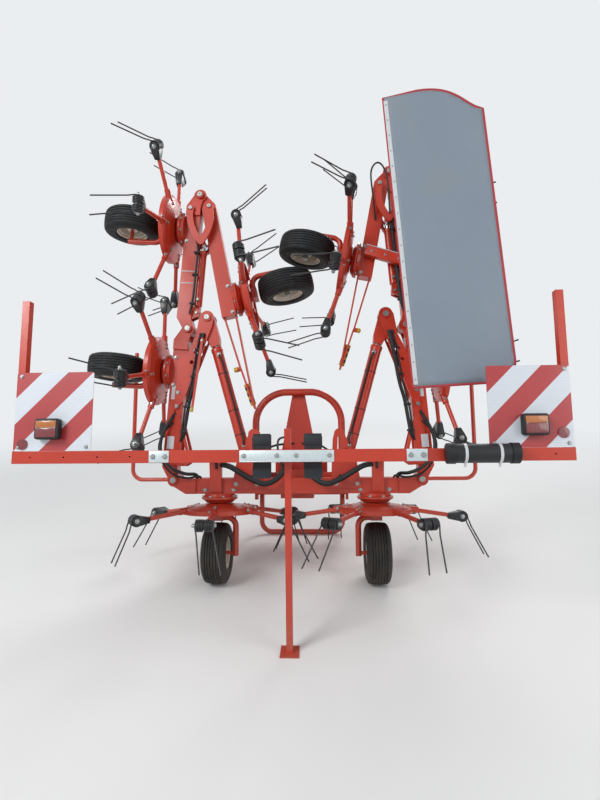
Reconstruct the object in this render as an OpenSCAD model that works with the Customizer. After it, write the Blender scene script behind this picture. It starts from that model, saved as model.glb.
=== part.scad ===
// Folded hay tedder with eight rotors, carried on a tractor's three-point linkage and stored parked.
// Machine axes: X to the right seen from behind, Y in the direction of travel, Z up.
// The whole machine is drawn level, then pitched forward as it parks on its stands.

/* [Stance] */
// Forward pitch of the parked machine
park_pitch = 14; // [10:0.5:18]
// Height of the rotor hinge line over the ground, machine level
hinge_z = 690; // [660:5:720]

/* [Rotors] */
// Distance between neighbouring rotors
rotor_pitch = 1090; // [1060:5:1120]
// Tine arms on one rotor
arm_count = 6; // [5:1:7]
// Radius at which the tine coils sit
coil_r = 556; // [520:2:580]
// Drop of the tine coils under the hinge line
coil_drop = 250; // [240:2:270]
// Radius of the rotor dish
dish_r = 250; // [210:5:270]
// Diameter of a rotor arm
arm_d = 30; // [24:1:36]
// Wire diameter of a tine
tine_d = 9.5; // [8:0.5:11]
// Radius of the circle that the tine tips run on
tip_r = 715; // [680:5:740]
// Drop of the tine tips under the hinge line
tip_drop = 503; // [480:2:506]
// Width of a double tine over its coils
coil_w = 108; // [96:4:120]
// Outer radius of the tine coils
coil_out = 38; // [32:1:42]
// Distance between the two legs of a tine at their tips
tine_tip_gap = 120; // [90:5:140]
// Distance that the tine tips trail behind their coils
tine_trail = 60; // [0:5:90]

/* [Wheels] */
// Outer diameter of a tyre
tyre_d = 406; // [390:2:420]
// Width of a tyre
tyre_w = 166; // [150:2:180]
// Diameter of the rim's bead seat
rim_d = 203; // [190:1:215]
// Distance of the axle behind the rotor's axis
wheel_trail = 49; // [30:1:70]
// Diameter of the axle
axle_d = 25; // [20:1:30]
// Diameter of the bent leg tube
leg_d = 40; // [32:1:46]

/* [Beams] */
// Height of the square beams
beam_h = 107; // [95:1:115]
// Width of the square beams
beam_w = 90; // [80:1:100]
// Distance of the hinge line over the beams' centre line
hinge_rise = 43; // [38:1:48]
// Distance of the first hinge from the machine's centre
hinge_x = 860; // [840:5:880]
// Hinge pin diameter
hinge_pin_d = 40; // [34:1:44]
// Running clearance of a pin, on the radius
pin_gap = 0.05; // [0.02:0.01:0.09]
// Distance along the wing to its first rotor
inner_rotor_s = 775; // [765:1:785]
// Distance along the wing to its second hinge
float_hinge_s = 1090; // [1080:5:1110]
// Distance along the left wing to its tip hinge
tip_hinge_left = 2120; // [2100:5:2140]
// Distance along the right wing to its tip hinge
tip_hinge_right = 2260; // [2240:5:2280]
// Distance of the tip beam's end past its rotor
tip_overhang = 125; // [110:5:140]
// Angle through which a wing is folded up
wing_fold = 94; // [92:0.5:95]
// Angle through which a tip is folded back
tip_fold = 165; // [162:0.5:168]

/* [Cylinders] */
// Place of the lift cylinder's lower pin across the machine
lift_base_x = 360; // [350:5:380]
// Height of the lift cylinder's lower pin
lift_base_z = 850; // [840:5:870]
// Distance of the lift cylinder's upper pin along the wing
lift_eye_s = 1183; // [1175:1:1190]
// Height of the lift cylinder's upper pin over the hinge line
lift_eye_h = 131; // [125:1:140]
// Outer diameter of the lift cylinder
lift_d = 80; // [70:1:90]
// Length of the lift cylinder's barrel
lift_barrel = 820; // [800:5:840]
// Diameter of the lift cylinder's rod
lift_rod_d = 40; // [32:1:46]
// Outer diameter of the tip cylinder
tip_cyl_d = 56; // [50:1:60]
// Length of the tip cylinder's barrel
tip_barrel = 480; // [470:5:490]
// Diameter of the tip cylinder's rod
tip_rod_d = 30; // [24:1:34]

/* [Rear] */
// Width of the rear bar
bumper_w = 2920; // [2840:10:2960]
// Height of the rear bar's square tube
bumper_h = 66; // [60:1:72]
// Depth of the rear bar's square tube
bumper_t = 60; // [50:1:66]
// Distance of the rear bar behind the rotors
bumper_y = 940; // [920:5:960]
// Height of the rear bar's centre
bumper_z = 840; // [830:5:850]
// Side of a warning panel
panel_side = 423; // [410:1:430]
// Thickness of a warning panel
panel_t = 4; // [3:1:6]
// Diameter of the document tube
doc_d = 104; // [95:1:110]

/* [Hitch] */
// Diameter of the lower link pins
link_pin_d = 28; // [27.8:0.1:28.6]
// Distance between the shoulders of the lower link pins
link_span = 825; // [815:5:835]
// Diameter of the top link bore
top_bore_d = 25.5; // [25.4:0.1:26]
// Height of the top link over the lower links
mast_rise = 610; // [590:10:640]
// Diameter of the drive shaft stub
stub_d = 35; // [34.5:0.1:35.5]

/* [Stands] */
// Width of the front stand over its tubes
hoop_w = 732; // [720:2:740]
// Diameter of the front stand's tube
hoop_d = 42; // [38:1:46]
// Diameter of the side guards' tube
guard_d = 34; // [28:1:40]
// Distance of the side guards from the machine's centre
guard_x = 1462; // [1450:2:1480]
// Side of the rear stand's square tube
prop_w = 35; // [30:1:40]

/* [Hidden] */
$fn = 48;
SIDES = [["left", -1], ["right", 1]];
S_NAME = 0;
S_SIGN = 1;
// Each rotor: name, side, section, phase of its first arm from the wing's outward direction,
// and the way its tines trail, which alternates because neighbours turn opposite ways
ROTORS = [
    ["centre_left", -1, "centre", 27, -1],
    ["centre_right", 1, "centre", -3, -1],
    ["inner_left", -1, "inner", 15, 1],
    ["inner_right", 1, "inner", 20, 1],
    ["middle_left", -1, "middle", 20, -1],
    ["middle_right", 1, "middle", 20, -1],
    ["tip_left", -1, "tip", 20, 1],
    ["tip_right", 1, "tip", 55, 1]
];
R_NAME = 0;
R_SIDE = 1;
R_SECTION = 2;
R_PHASE = 3;
R_TRAIL = 4;
ROTOR_KINDS = ["rotor", "tines", "tyre", "rim"];
FIXED = ["centre_beam", "gearbox", "headstock", "side_guards", "front_stand", "rear_stand",
    "rear_bar", "warning_panels", "document_tube", "shield_cloth"];
SIDED = ["wing_inner", "wing_middle", "wing_tip", "lift_barrel", "lift_rod",
    "knee_inner", "knee_outer", "tip_barrel", "tip_rod"];

red = "#C8322B";
black = "#17191C";
cream = "#C9C2B0";
steel = "#C9D4D6";
canvas = "#7F8C99";

// Origin of the parked machine: the middle of its box, seen from above
origin_y = 250;
// Heights under the hinge line, machine level
beam_low = hinge_rise + beam_h / 2;
beam_top = beam_h / 2 - hinge_rise;
housing_r = 125;
housing_h = 63;
housing_low = beam_low + housing_h;
post_low = 240;
column_r = 40;
tyre_r = tyre_d / 2;
axle_drop = hinge_z - tyre_r / cos(park_pitch) + wheel_trail * tan(park_pitch);
beam_end = 85;
dish_deep = 72;
coil_turns = 8;
lug_r = 46;
lug_t = 14;
lug_gap = 1;
lug_grip = 70;
knuckle_w = beam_w;
outer_rotor_s = inner_rotor_s + 2 * rotor_pitch;
middle_rotor_s = inner_rotor_s + rotor_pitch;
plate_t = 12;
bracket_y = beam_w / 2 - 0.5;
panel_inset = 3.5;
lamp_w = 130;
lamp_h = 110;
lamp_t = 55;
doc_x = bumper_w / 2 - 660;
doc_length = 360;
cap_l = 44;
bar_hole_d = 9;
bar_holes = [100, 280, 462, 636];

function tip_hinge(side) = side < 0 ? tip_hinge_left : tip_hinge_right;

// Knee linkage of the tip fold, along and over the wing from the tip hinge
knee_b = [-111, -60];
knee_c = [-102, 84];
knee_0 = [-372, 46];
tip_base = [-900, 44];
knee_t = 14;
knee_r = 28;
knee_half_w = 24;
knee_bow = 34;
knee_pin_r = 16;
knee_b_y = beam_w / 2 + 21;
knee_c_y = knee_b_y + knee_t + 6;
seat_gap = 0.3;
tip_pin_r = 12;
tip_eye_r = 24;
tip_eye_w = 48;
tip_neck = 58;
rear_arm_x = 560;

// Front frame, measured from the rotors' centre line
front_y = beam_w / 2 + 215;
bar_y0 = front_y + 460;
bar_y1 = front_y + 520;
link_h = -110;
stand_gap = 0.8;
hoop_y = bar_y1 + 35;
hoop_top = 190;
hoop_bend = 90;
arch_bend = 240;
arch_top = 660;
sleeve_low = -110;
sleeve_high = 0;

// Crop shield of the right wing, along, behind and over the wing
shield_low_s = 530;
shield_high_s = 2242;
shield_pole_y = -832;
shield_pole_h = 128;
shield_t = 3;
shield_drop = 430;
shield_arms = [465, 65];

// Side guards, clear of the circle that the tines run on
guard_y = bar_y0 + 25;
guard_z = -20;
guard_bend = 90;
guard_top = 1095;
guard_flange_t = 8;
guard_reach = 700;
guard_bar_w = 42;

// Rear stand: its foot on the ground, and the point where it passes the rear bar
prop_foot_y = -795;
prop_y = -bumper_y + bumper_t / 2 + 10 + prop_w / 2 + 4;
prop_pass = [prop_y * cos(park_pitch) + bumper_z * sin(park_pitch),
    -prop_y * sin(park_pitch) + bumper_z * cos(park_pitch)];
prop_foot_t = 8;
prop_lean = atan2(prop_pass.x - prop_foot_y, prop_pass.y - prop_foot_t);
prop_length = 1180;

// The parked pitch about the ground line under the wheels
module parked() {
    translate([0, -origin_y, 0]) rotate([-park_pitch, 0, 0]) children();
}

module on_side(side) {
    if (side < 0) mirror([1, 0, 0]) children();
    else children();
}

// Wing axes: X along the wing from its first hinge, Z up from the hinge line, folded up
module wing_axes(side) {
    parked() on_side(side) translate([hinge_x, 0, hinge_z]) rotate([0, -wing_fold, 0]) children();
}

// Tip axes: X along the tip from its hinge, folded back over the wing
module tip_axes(side) {
    wing_axes(side) translate([tip_hinge(side), 0, 0]) rotate([0, -tip_fold, 0]) children();
}

// Axes of one rotor: Z along its shaft, Z = 0 on the hinge line
module rotor_axes(r) {
    side = r[R_SIDE];
    if (r[R_SECTION] == "centre")
        parked() on_side(side) translate([rotor_pitch / 2, 0, hinge_z]) children();
    if (r[R_SECTION] == "inner")
        wing_axes(side) translate([inner_rotor_s, 0, 0]) children();
    if (r[R_SECTION] == "middle")
        wing_axes(side) translate([middle_rotor_s, 0, 0]) children();
    if (r[R_SECTION] == "tip")
        tip_axes(side) translate([outer_rotor_s - tip_hinge(side), 0, 0]) children();
}

// A box between two corners
module block(low, high) {
    translate(low) cube(high - low);
}

// A round bar along Y, centred on y = 0
module bar_y(x, z, r, w) {
    translate([x, w / 2, z]) rotate([90, 0, 0]) cylinder(r = r, h = w);
}

// A round bar between two points
module rod(a, b, r) {
    d = b - a;
    translate(a) rotate([0, acos(d.z / norm(d)), atan2(d.y, d.x)]) cylinder(r = r, h = norm(d));
}

// Direction from one point to the next, and the turn at a corner of a path
function heading(points, i) = (points[i + 1] - points[i]) / norm(points[i + 1] - points[i]);
function turn_at(points, i) = acos(heading(points, i - 1) * heading(points, i));

// A tube in the X-Z plane along a path of points, with one bend radius
module bent_tube(points, bend, r) {
    last = len(points) - 1;
    cut = [for (i = [0:last]) i == 0 || i == last ? 0 : bend * tan(turn_at(points, i) / 2)];
    for (i = [0:last - 1]) {
        d = heading(points, i);
        a = points[i] + d * cut[i];
        b = points[i + 1] - d * cut[i + 1];
        rod([a.x, 0, a.y], [b.x, 0, b.y], r);
    }
    for (i = [1:last - 1]) {
        d0 = heading(points, i - 1);
        d1 = heading(points, i);
        left = d0.x * d1.y - d0.y * d1.x > 0 ? 1 : -1;
        start = left > 0 ? d0 : -d1;
        centre = points[i] - d0 * cut[i] + left * bend * [-d0.y, d0.x];
        translate([centre.x, 0, centre.y]) rotate([90, 0, 0]) rotate(atan2(start.y, start.x) - 90)
            rotate_extrude(angle = turn_at(points, i)) translate([bend, 0]) circle(r);
    }
}

// A flat plate in the X-Z plane with its outline given, between y0 and y0 + t
module plate_y(points, y0, t) {
    translate([0, y0 + t, 0]) rotate([90, 0, 0]) linear_extrude(t) polygon(points);
}

// A pair of plates in the X-Z plane on a beam's two sides, with the outline given as children
module side_plates() {
    for (y0 = [-bracket_y - plate_t, bracket_y])
        translate([0, y0 + plate_t, 0]) rotate([90, 0, 0]) linear_extrude(plate_t) children();
}

// Slot with round ends between two points
module slot_2d(a, b, r) {
    d = b - a;
    for (p = [a, b]) translate(p) circle(r);
    translate(a) rotate(atan2(d.y, d.x)) translate([0, 1 - r]) square([norm(d), 2 * r - 2]);
}

// Flat bar in the X-Z plane between two points, centred on y = 0
module flat_bar(a, b, w, t) {
    d = b - a;
    translate([a.x, 0, a.y]) rotate([0, -atan2(d.y, d.x), 0]) block([0, -w / 2, -t / 2], [norm(d), w / 2, t / 2]);
}

// Square beam along X from x0 to x1, its top at z = beam_top
module beam(x0, x1) {
    block([x0, -beam_w / 2, -beam_low], [x1, beam_w / 2, beam_top]);
}

// The two outer lugs of a hinge, on a beam that ends before it
module fork(x, from) {
    inner = knuckle_w / 2 + lug_gap;
    block([from - lug_grip, -inner - 1, -beam_low], [from, inner + 1, beam_top]);
    for (s = [-1, 1]) {
        y0 = s > 0 ? inner : -inner - lug_t;
        plate_y([[from - lug_grip, -beam_low], [from, -beam_low], [x, -lug_r], [x, lug_r - 12],
            [from, beam_top], [from - lug_grip, beam_top]], y0, lug_t);
        translate([x, y0 + lug_t, 0]) rotate([90, 0, 0]) cylinder(r = lug_r, h = lug_t);
    }
    bar_y(x, 0, hinge_pin_d / 2, knuckle_w + 2 * lug_gap + 2 * lug_t + 24);
    for (s = [-1, 1])
        translate([x, s * (knuckle_w / 2 + lug_gap + lug_t + 12), 0])
            rotate([90, 0, 0]) cylinder(r = 30, h = 14, center = true, $fn = 8);
}

// The middle knuckle of a hinge, bored for the pin
module knuckle(x, from) {
    difference() {
        union() {
            bar_y(x, 0, lug_r - 2, knuckle_w);
            plate_y([[from, -beam_low], [x, -lug_r + 4], [x, lug_r - 10], [from, beam_top]],
                -knuckle_w / 2, knuckle_w);
        }
        bar_y(x, 0, hinge_pin_d / 2 + pin_gap, knuckle_w + 2);
    }
}

// Gear housing under a beam, with the fixed column that the rotor turns on
module housing(x) {
    translate([x, 0, -housing_low]) rotate_extrude()
        polygon([[0, 0], [80, 0], [94, 5], [110, 20], [housing_r, 27], [housing_r, 40], [112, 45],
            [102, housing_h + 1], [0, housing_h + 1]]);
    translate([x, 0, -post_low]) cylinder(r = column_r, h = post_low - housing_low + 1);
}

// Bent leg from the column round the inner side of the tyre to its axle
module leg(x, inward) {
    reach = tyre_w / 2 + 22 + leg_d / 2;
    r = leg_d / 2;
    top = -post_low - 16;
    block([x - 38, -wheel_trail - r - 4, -post_low - 38], [x + 38, 38, -post_low + 4]);
    translate([x, -wheel_trail, 0]) {
        bent_tube([[0, top], [inward * reach, top], [inward * reach, -axle_drop - 20]], 62, r);
        rod([inward * (reach + 14), 0, -axle_drop], [-inward * (tyre_w / 2 - 20), 0, -axle_drop], axle_d / 2);
    }
}

module centre_beam() {
    color(red) parked() translate([0, 0, hinge_z]) {
        beam(-hinge_x + beam_end, hinge_x - beam_end);
        for (s = SIDES) on_side(s[S_SIGN]) {
            fork(hinge_x, hinge_x - beam_end);
            housing(rotor_pitch / 2);
            leg(rotor_pitch / 2, -1);
            lift_base_bracket();
        }
        rear_arms();
    }
}

// Plates that hold the lift cylinder's lower pin, each with a slot and a round nose
module lift_base_bracket() {
    z = lift_base_z - hinge_z;
    side_plates() difference() {
        union() {
            polygon([[lift_base_x - 120, -60], [lift_base_x - 104, z + 120], [lift_base_x - 90, z + 178],
                [lift_base_x - 22, z + 150], [lift_base_x + 50, z + 14], [lift_base_x + 92, -60]]);
            translate([lift_base_x, z]) circle(54);
            translate([lift_base_x - 57, z + 158]) circle(36);
        }
        slot_2d([lift_base_x - 62, z + 46], [lift_base_x - 58, z + 128], 13);
    }
    bar_y(lift_base_x, z, 20, 2 * (bracket_y + plate_t) + 16);
    for (s = [-1, 1])
        translate([lift_base_x, s * (bracket_y + plate_t + 6), z]) rotate([90, 0, 0])
            cylinder(r = 31, h = 10, center = true, $fn = 6);
}

// The two arms that carry the rear bar, each bolted to the beam by its upright
module rear_arms() {
    z = bumper_z - hinge_z;
    face = -beam_w / 2 - seat_gap;
    for (s = [-1, 1]) {
        block([s * rear_arm_x - 30, -bumper_y + bumper_t / 2, z - 30], [s * rear_arm_x + 30, face - 30, z + 30]);
        translate([s * rear_arm_x - 40, 0, 0]) rotate([90, 0, 90]) linear_extrude(80)
            polygon([[face, -beam_low], [face - 18, -beam_low], [face - 62, z - 34], [face - 62, z + 31],
                [face, z + 31]]);
    }
}

module gearbox() {
    color(red) parked() translate([0, 0, hinge_z]) {
        block([-118, beam_w / 2, -135], [118, front_y - 5, 65]);
        rod([0, front_y - 6, -35], [0, front_y + 50, -35], 60);
        rod([0, front_y + 49, -35], [0, front_y + 140, -35], stub_d / 2);
    }
}

// Mast tower, arch, and the frame with the linkage pins
module headstock() {
    r = hoop_d / 2;
    x = hoop_w / 2 - r;
    color(red) parked() translate([0, 0, hinge_z]) {
        for (s = [-1, 1]) {
            block([s * 190 - 30, beam_w / 2, -70], [s * 190 + 30, bar_y0 + 1, -10]);
            block([s * 190 - 30, bar_y0, -71], [s * 190 + 30, bar_y1, 120]);
            block([s * (link_span / 2 - 30) - 10, bar_y0 - 20, -190],
                [s * (link_span / 2 - 30) + 10, bar_y1 + 20, 20]);
            rod([s * (link_span / 2 - 25), bar_y0 + 30, link_h], [s * (link_span / 2 + 95), bar_y0 + 30, link_h],
                link_pin_d / 2);
            difference() {
                block([s * x - r - 10, bar_y1 - 1, sleeve_low], [s * x + r + 10, hoop_y + r + 10, sleeve_high]);
                translate([s * x, hoop_y, sleeve_low - 1]) cylinder(r = r + stand_gap, h = 200);
            }
        }
        block([-link_span / 2 + 20, bar_y0, -150], [link_span / 2 - 20, bar_y1, -69]);
        block([-220, bar_y0 + 1, 60], [220, bar_y1 - 1, 120]);
        mast_tower();
        top_link_plates();
        arch(front_y + 26);
    }
}

// Tapered tower behind the headstock, open round the drive
module mast_tower() {
    high = mast_rise + 40;
    translate([0, front_y + 74, 0]) rotate([90, 0, 0]) linear_extrude(14) difference() {
        polygon([[-165, -60], [165, -60], [150, 120], [48, high], [-48, high], [-150, 120]]);
        translate([0, -35]) circle(85);
    }
    block([-30, front_y + 73, high - 130], [30, bar_y0 - 65, high - 90]);
}

module top_link_plates() {
    top = mast_rise + link_h;
    difference() {
        for (s = [-1, 1])
            block([s * 42 - 8, bar_y0 - 70, 0], [s * 42 + 8, bar_y1 + 40, top + 60]);
        translate([-80, bar_y0 + 30, top]) rotate([0, 90, 0]) cylinder(d = top_bore_d, h = 160);
    }
    block([-34.5, bar_y0 - 69, 100], [34.5, bar_y0 - 55, top + 59]);
}

// Bent tube over the gearbox, on a foot at each side
module arch(y) {
    x = 330;
    for (s = [-1, 1]) {
        low = min(s * 161, s * (x + 27));
        block([low, y - 30, -10 + seat_gap], [low + x - 134, y + 30, 45]);
    }
    translate([0, y, 0]) bent_tube([[-x, 20], [-x, arch_top], [x, arch_top], [x, 20]], arch_bend, 27);
}

// L-shaped tubes that guard the folded wings' tines, on flanges outside the linkage plates
module side_guards() {
    root = link_span / 2 - 20;
    color(red) parked() translate([0, guard_y, hinge_z]) for (s = SIDES) on_side(s[S_SIGN]) {
        bent_tube([[root + 1, guard_z], [guard_x, guard_z], [guard_x, guard_top]], guard_bend, guard_d / 2);
        block([root, -38, guard_z - 38], [root + guard_flange_t, 38, guard_z + 38]);
    }
}

// U-shaped tube that the front of the machine rests on
module front_stand() {
    color(red) parked() translate([0, 0, hinge_z]) hoop();
}

module hoop() {
    low = -hinge_z + (hoop_d / 2 + hoop_y * sin(park_pitch)) / cos(park_pitch);
    x = (hoop_w - hoop_d) / 2;
    translate([0, hoop_y, 0])
        bent_tube([[-x, hoop_top], [-x, low], [x, low], [x, hoop_top]], hoop_bend, hoop_d / 2);
}

// Square prop under the rear bar, upright as the machine parks
module rear_stand() {
    color(red) translate([0, -origin_y, 0]) {
        block([-50, prop_foot_y - 50, 0], [50, prop_foot_y + 50, prop_foot_t]);
        prop_axes() translate([-prop_w / 2, -prop_w / 2, -3]) cube([prop_w, prop_w, prop_length]);
    }
}

// Axes of the rear stand: Z along its tube, from its foot
module prop_axes() {
    translate([0, prop_foot_y, prop_foot_t]) rotate([-prop_lean, 0, 0]) children();
}

module rear_bar() {
    z = bumper_z - hinge_z;
    y = -bumper_y;
    color(red) parked() translate([0, 0, hinge_z]) {
        difference() {
            block([-bumper_w / 2, y - bumper_t / 2, z - bumper_h / 2],
                [bumper_w / 2, y + bumper_t / 2, z + bumper_h / 2]);
            for (s = [-1, 1], d = bar_holes)
                translate([s * (bumper_w / 2 - d), y, z]) rotate([90, 0, 0])
                    cylinder(d = bar_hole_d, h = bumper_t + 2, center = true);
        }
        for (s = [-1, 1])
            block([s * (bumper_w / 2 - 20) - 20, y - 20, z + bumper_h / 2 - 1],
                [s * (bumper_w / 2 - 20) + 20, y + 20, z + 860]);
    }
    color(red) translate([0, -origin_y, 0]) prop_sleeve();
}

// Guide of the rear stand, on the front of the bar
module prop_sleeve() {
    r = prop_w / 2;
    along = norm(prop_pass - [prop_foot_y, prop_foot_t]);
    prop_axes() difference() {
        block([-r - 8, -r - 14, along - 28], [r + 8, r + 8, along + 28]);
        block([-r - stand_gap, -r - stand_gap, along - 30], [r + stand_gap, r + stand_gap, along + 30]);
    }
}

// Striped panels on the bar, with a lamp seated on each
module warning_panels() {
    z = bumper_z - hinge_z + bumper_h / 2;
    y = -bumper_y - bumper_t / 2 + 6;
    x0 = bumper_w / 2 - panel_inset - panel_side;
    lamp_x = x0 + panel_side / 2 + 10;
    parked() translate([0, 0, hinge_z]) for (s = SIDES) on_side(s[S_SIGN]) {
        color("white") block([x0, y - panel_t, z], [x0 + panel_side, y, z + panel_side]);
        color(black) block([lamp_x - lamp_w / 2, y - panel_t - seat_gap - lamp_t, z + 60],
            [lamp_x + lamp_w / 2, y - panel_t - seat_gap, z + 60 + lamp_h]);
    }
}

module document_tube() {
    z = bumper_z - hinge_z;
    y = -bumper_y - bumper_t / 2;
    color(black) parked() translate([doc_x, y - doc_d / 2, hinge_z + z + 5]) {
        rod([2, 0, 0], [doc_length - 2, 0, 0], doc_d / 2 - 4);
        for (x = [0, doc_length - cap_l]) rod([x, 0, 0], [x + cap_l, 0, 0], doc_d / 2);
    }
}

module wing_inner(side) {
    color(red) wing_axes(side) {
        beam(beam_end, float_hinge_s - beam_end);
        knuckle(0, beam_end);
        fork(float_hinge_s, float_hinge_s - beam_end);
        housing(inner_rotor_s);
        leg(inner_rotor_s, -1);
        lift_arm_plates();
        base_gussets();
    }
}

// Plates that carry the lift cylinder's upper pin over the beam, lightened by three holes
module lift_arm_plates() {
    side_plates() difference() {
        union() {
            polygon([[480, -50], [560, beam_top], [lift_eye_s - 60, lift_eye_h + 44],
                [lift_eye_s, lift_eye_h + 50], [lift_eye_s + 46, lift_eye_h - 20], [lift_eye_s, lift_eye_h - 56],
                [float_hinge_s - 60, 60], [900, beam_top], [900, -50]]);
            translate([lift_eye_s, lift_eye_h]) circle(50);
        }
        for (p = [[845, 48, 15], [930, 74, 22], [1016, 104, 24]]) translate([p.x, p.y]) circle(p.z);
    }
    for (s = [-1, 1])
        translate([lift_eye_s, s * (bracket_y + plate_t + 5), lift_eye_h]) rotate([90, 0, 0])
            cylinder(r = 30, h = 12, center = true);
}

// Gussets at the root of the wing, each with a three-cornered opening
module base_gussets() {
    side_plates() difference() {
        polygon([[100, -60], [100, 62], [128, 96], [178, 96], [450, 2], [470, -60]]);
        polygon([[128, 24], [128, 62], [146, 76], [176, 74], [330, 24]]);
    }
}

module wing_middle(side) {
    hinge = tip_hinge(side);
    color(red) wing_axes(side) {
        beam(float_hinge_s + beam_end, hinge - beam_end);
        knuckle(float_hinge_s, float_hinge_s + beam_end);
        fork(hinge, hinge - beam_end);
        housing(middle_rotor_s);
        leg(middle_rotor_s, -1);
        translate([hinge, 0, 0]) {
            link_pin(knee_b, knee_b_y);
            tip_base_ears();
        }
        if (side > 0) shield_frame();
    }
}

// Ears on a beam with the pin that the tip cylinder's barrel turns on
module tip_base_ears() {
    y = tip_eye_w / 2 + 1;
    for (s = [-1, 1])
        plate_y([[tip_base.x - 50, beam_top - 1], [tip_base.x - 20, tip_base.y + 22],
            [tip_base.x + 20, tip_base.y + 22], [tip_base.x + 50, beam_top - 1]], s > 0 ? y : -y - 10, 10);
    bar_y(tip_base.x, tip_base.y, tip_pin_r, 2 * y + 28);
}

// Pole along the edge of the crop shield, with the two arms that carry it
module shield_frame() {
    rod([shield_low_s, shield_pole_y, shield_pole_h], [shield_high_s, shield_pole_y, shield_pole_h], 14);
    for (d = shield_arms) {
        x = middle_rotor_s - d;
        block([x - 20, shield_pole_y - 12, -60], [x + 20, -beam_w / 2 + 1, -20]);
        block([x - 20, shield_pole_y - 12, -60], [x + 20, shield_pole_y + 12, shield_pole_h]);
    }
}

module wing_tip(side) {
    rotor_s = outer_rotor_s - tip_hinge(side);
    color(red) tip_axes(side) {
        beam(beam_end, rotor_s + tip_overhang);
        end_guard(rotor_s + tip_overhang);
        knuckle(0, beam_end);
        housing(rotor_s);
        leg(rotor_s, -1);
        link_pin([knee_c.x * cos(tip_fold) + knee_c.y * sin(tip_fold),
            -knee_c.x * sin(tip_fold) + knee_c.y * cos(tip_fold)], knee_c_y);
    }
}

// Two flat bars that meet in a point beyond the tip beam and guard the rotor's end
module end_guard(x) {
    apex = [x + guard_reach, -98];
    elbow = [x + 0.58 * guard_reach, -52];
    flat_bar([x - 60, beam_top - 8], elbow, guard_bar_w, 12);
    flat_bar(elbow - [8, 1], apex, guard_bar_w - 4, 12);
    flat_bar([x - 60, -beam_low + 8], apex + [2, -1], guard_bar_w + 4, 12);
    translate([elbow.x - 12, 0, elbow.y]) cylinder(r = 17, h = 26);
}

// From the lift cylinder's lower pin to its upper one, wing folded
function lift_reach() = [hinge_x + lift_eye_s * cos(wing_fold) - lift_eye_h * sin(wing_fold) - lift_base_x,
    hinge_z + lift_eye_s * sin(wing_fold) + lift_eye_h * cos(wing_fold) - lift_base_z];

module lift_axes(side) {
    d = lift_reach();
    parked() on_side(side) translate([lift_base_x, 0, lift_base_z]) rotate([0, -atan2(d.y, d.x), 0]) children();
}

function lift_length() = norm(lift_reach());

module lift_barrel(side) {
    color(red) lift_axes(side) difference() {
        union() {
            rod([30, 0, 0], [lift_barrel, 0, 0], lift_d / 2);
            bar_y(0, 0, 38, 2 * bracket_y - 3);
        }
        bar_y(0, 0, 20 + pin_gap, 2 * bracket_y);
        rod([70, 0, 0], [lift_barrel + 10, 0, 0], lift_rod_d / 2 + 0.05);
    }
}

module lift_rod(side) {
    len = lift_length();
    color(red) lift_axes(side) difference() {
        union() {
            rod([90, 0, 0], [lift_barrel + 20, 0, 0], lift_rod_d / 2);
            translate([0, bracket_y - 6, 0]) rotate([90, 0, 0]) linear_extrude(2 * bracket_y - 12)
                polygon([[lift_barrel + 12, -32], [lift_barrel + 70, -45], [len, -45], [len, 45],
                    [lift_barrel + 70, 45], [lift_barrel + 12, 32]]);
            bar_y(len, 0, 45.5, 2 * bracket_y - 12);
        }
        bar_y(len, 0, 18, 2 * bracket_y);
    }
}

module knee_axes(side) {
    wing_axes(side) translate([tip_hinge(side), 0, 0]) children();
}

module knee_inner(side) {
    boss = knee_c_y - knee_b_y - knee_t - seat_gap;
    color(red) knee_axes(side) {
        link(knee_b, knee_0, knee_b_y, knee_bow);
        for (s = [-1, 1])
            rod([knee_0.x, s * (knee_b_y + knee_t - 1), knee_0.y],
                [knee_0.x, s * (knee_b_y + knee_t + boss), knee_0.y], 22);
    }
}

module knee_outer(side) {
    color(red) knee_axes(side) link(knee_c, knee_0, knee_c_y, -knee_bow);
}

// A pair of flat links between two points, curved to one side and bored at the first for its pin
module link(a, b, y, bow) {
    d = norm(b - a);
    side = sign(bow);
    bend = (d * d / 4 + bow * bow) / (2 * abs(bow));
    half = asin(d / 2 / bend);
    for (s = [-1, 1])
        translate([a.x, s > 0 ? y + knee_t : -y, a.y]) rotate([90, 0, 0]) rotate(atan2((b - a).y, (b - a).x))
            difference() {
                union() {
                    rotate(side * half) cylinder(r = knee_r, h = knee_t);
                    translate([d, 0, 0]) rotate(180 - side * half) cylinder(r = knee_r, h = knee_t);
                    translate([d / 2, bow - side * bend, 0]) rotate(side * 90 - half)
                        rotate_extrude(angle = 2 * half)
                            translate([bend - knee_half_w, 0]) square([2 * knee_half_w, knee_t]);
                }
                translate([0, 0, -1]) cylinder(r = knee_pin_r + pin_gap, h = knee_t + 2);
            }
}

// Pin of a pair of links, seen from a beam's own side faces
module link_pin(at, y) {
    for (s = [-1, 1])
        rod([at.x, s * (beam_w / 2 - 5), at.y], [at.x, s * (y + knee_t + 4), at.y], knee_pin_r);
}

module tip_cyl_axes(side) {
    d = knee_0 - tip_base;
    knee_axes(side) translate([tip_base.x, 0, tip_base.y]) rotate([0, -atan2(d.y, d.x), 0]) children();
}

module tip_barrel(side) {
    color(red) tip_cyl_axes(side) difference() {
        union() {
            rod([tip_neck, 0, 0], [tip_barrel, 0, 0], tip_cyl_d / 2);
            bar_y(0, 0, tip_eye_r, tip_eye_w);
            block([5, -20, -18], [tip_neck + 1, 20, 18]);
        }
        bar_y(0, 0, tip_pin_r + pin_gap, tip_eye_w + 2);
        rod([tip_neck + 14, 0, 0], [tip_barrel + 5, 0, 0], tip_rod_d / 2 + 0.05);
    }
}

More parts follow.
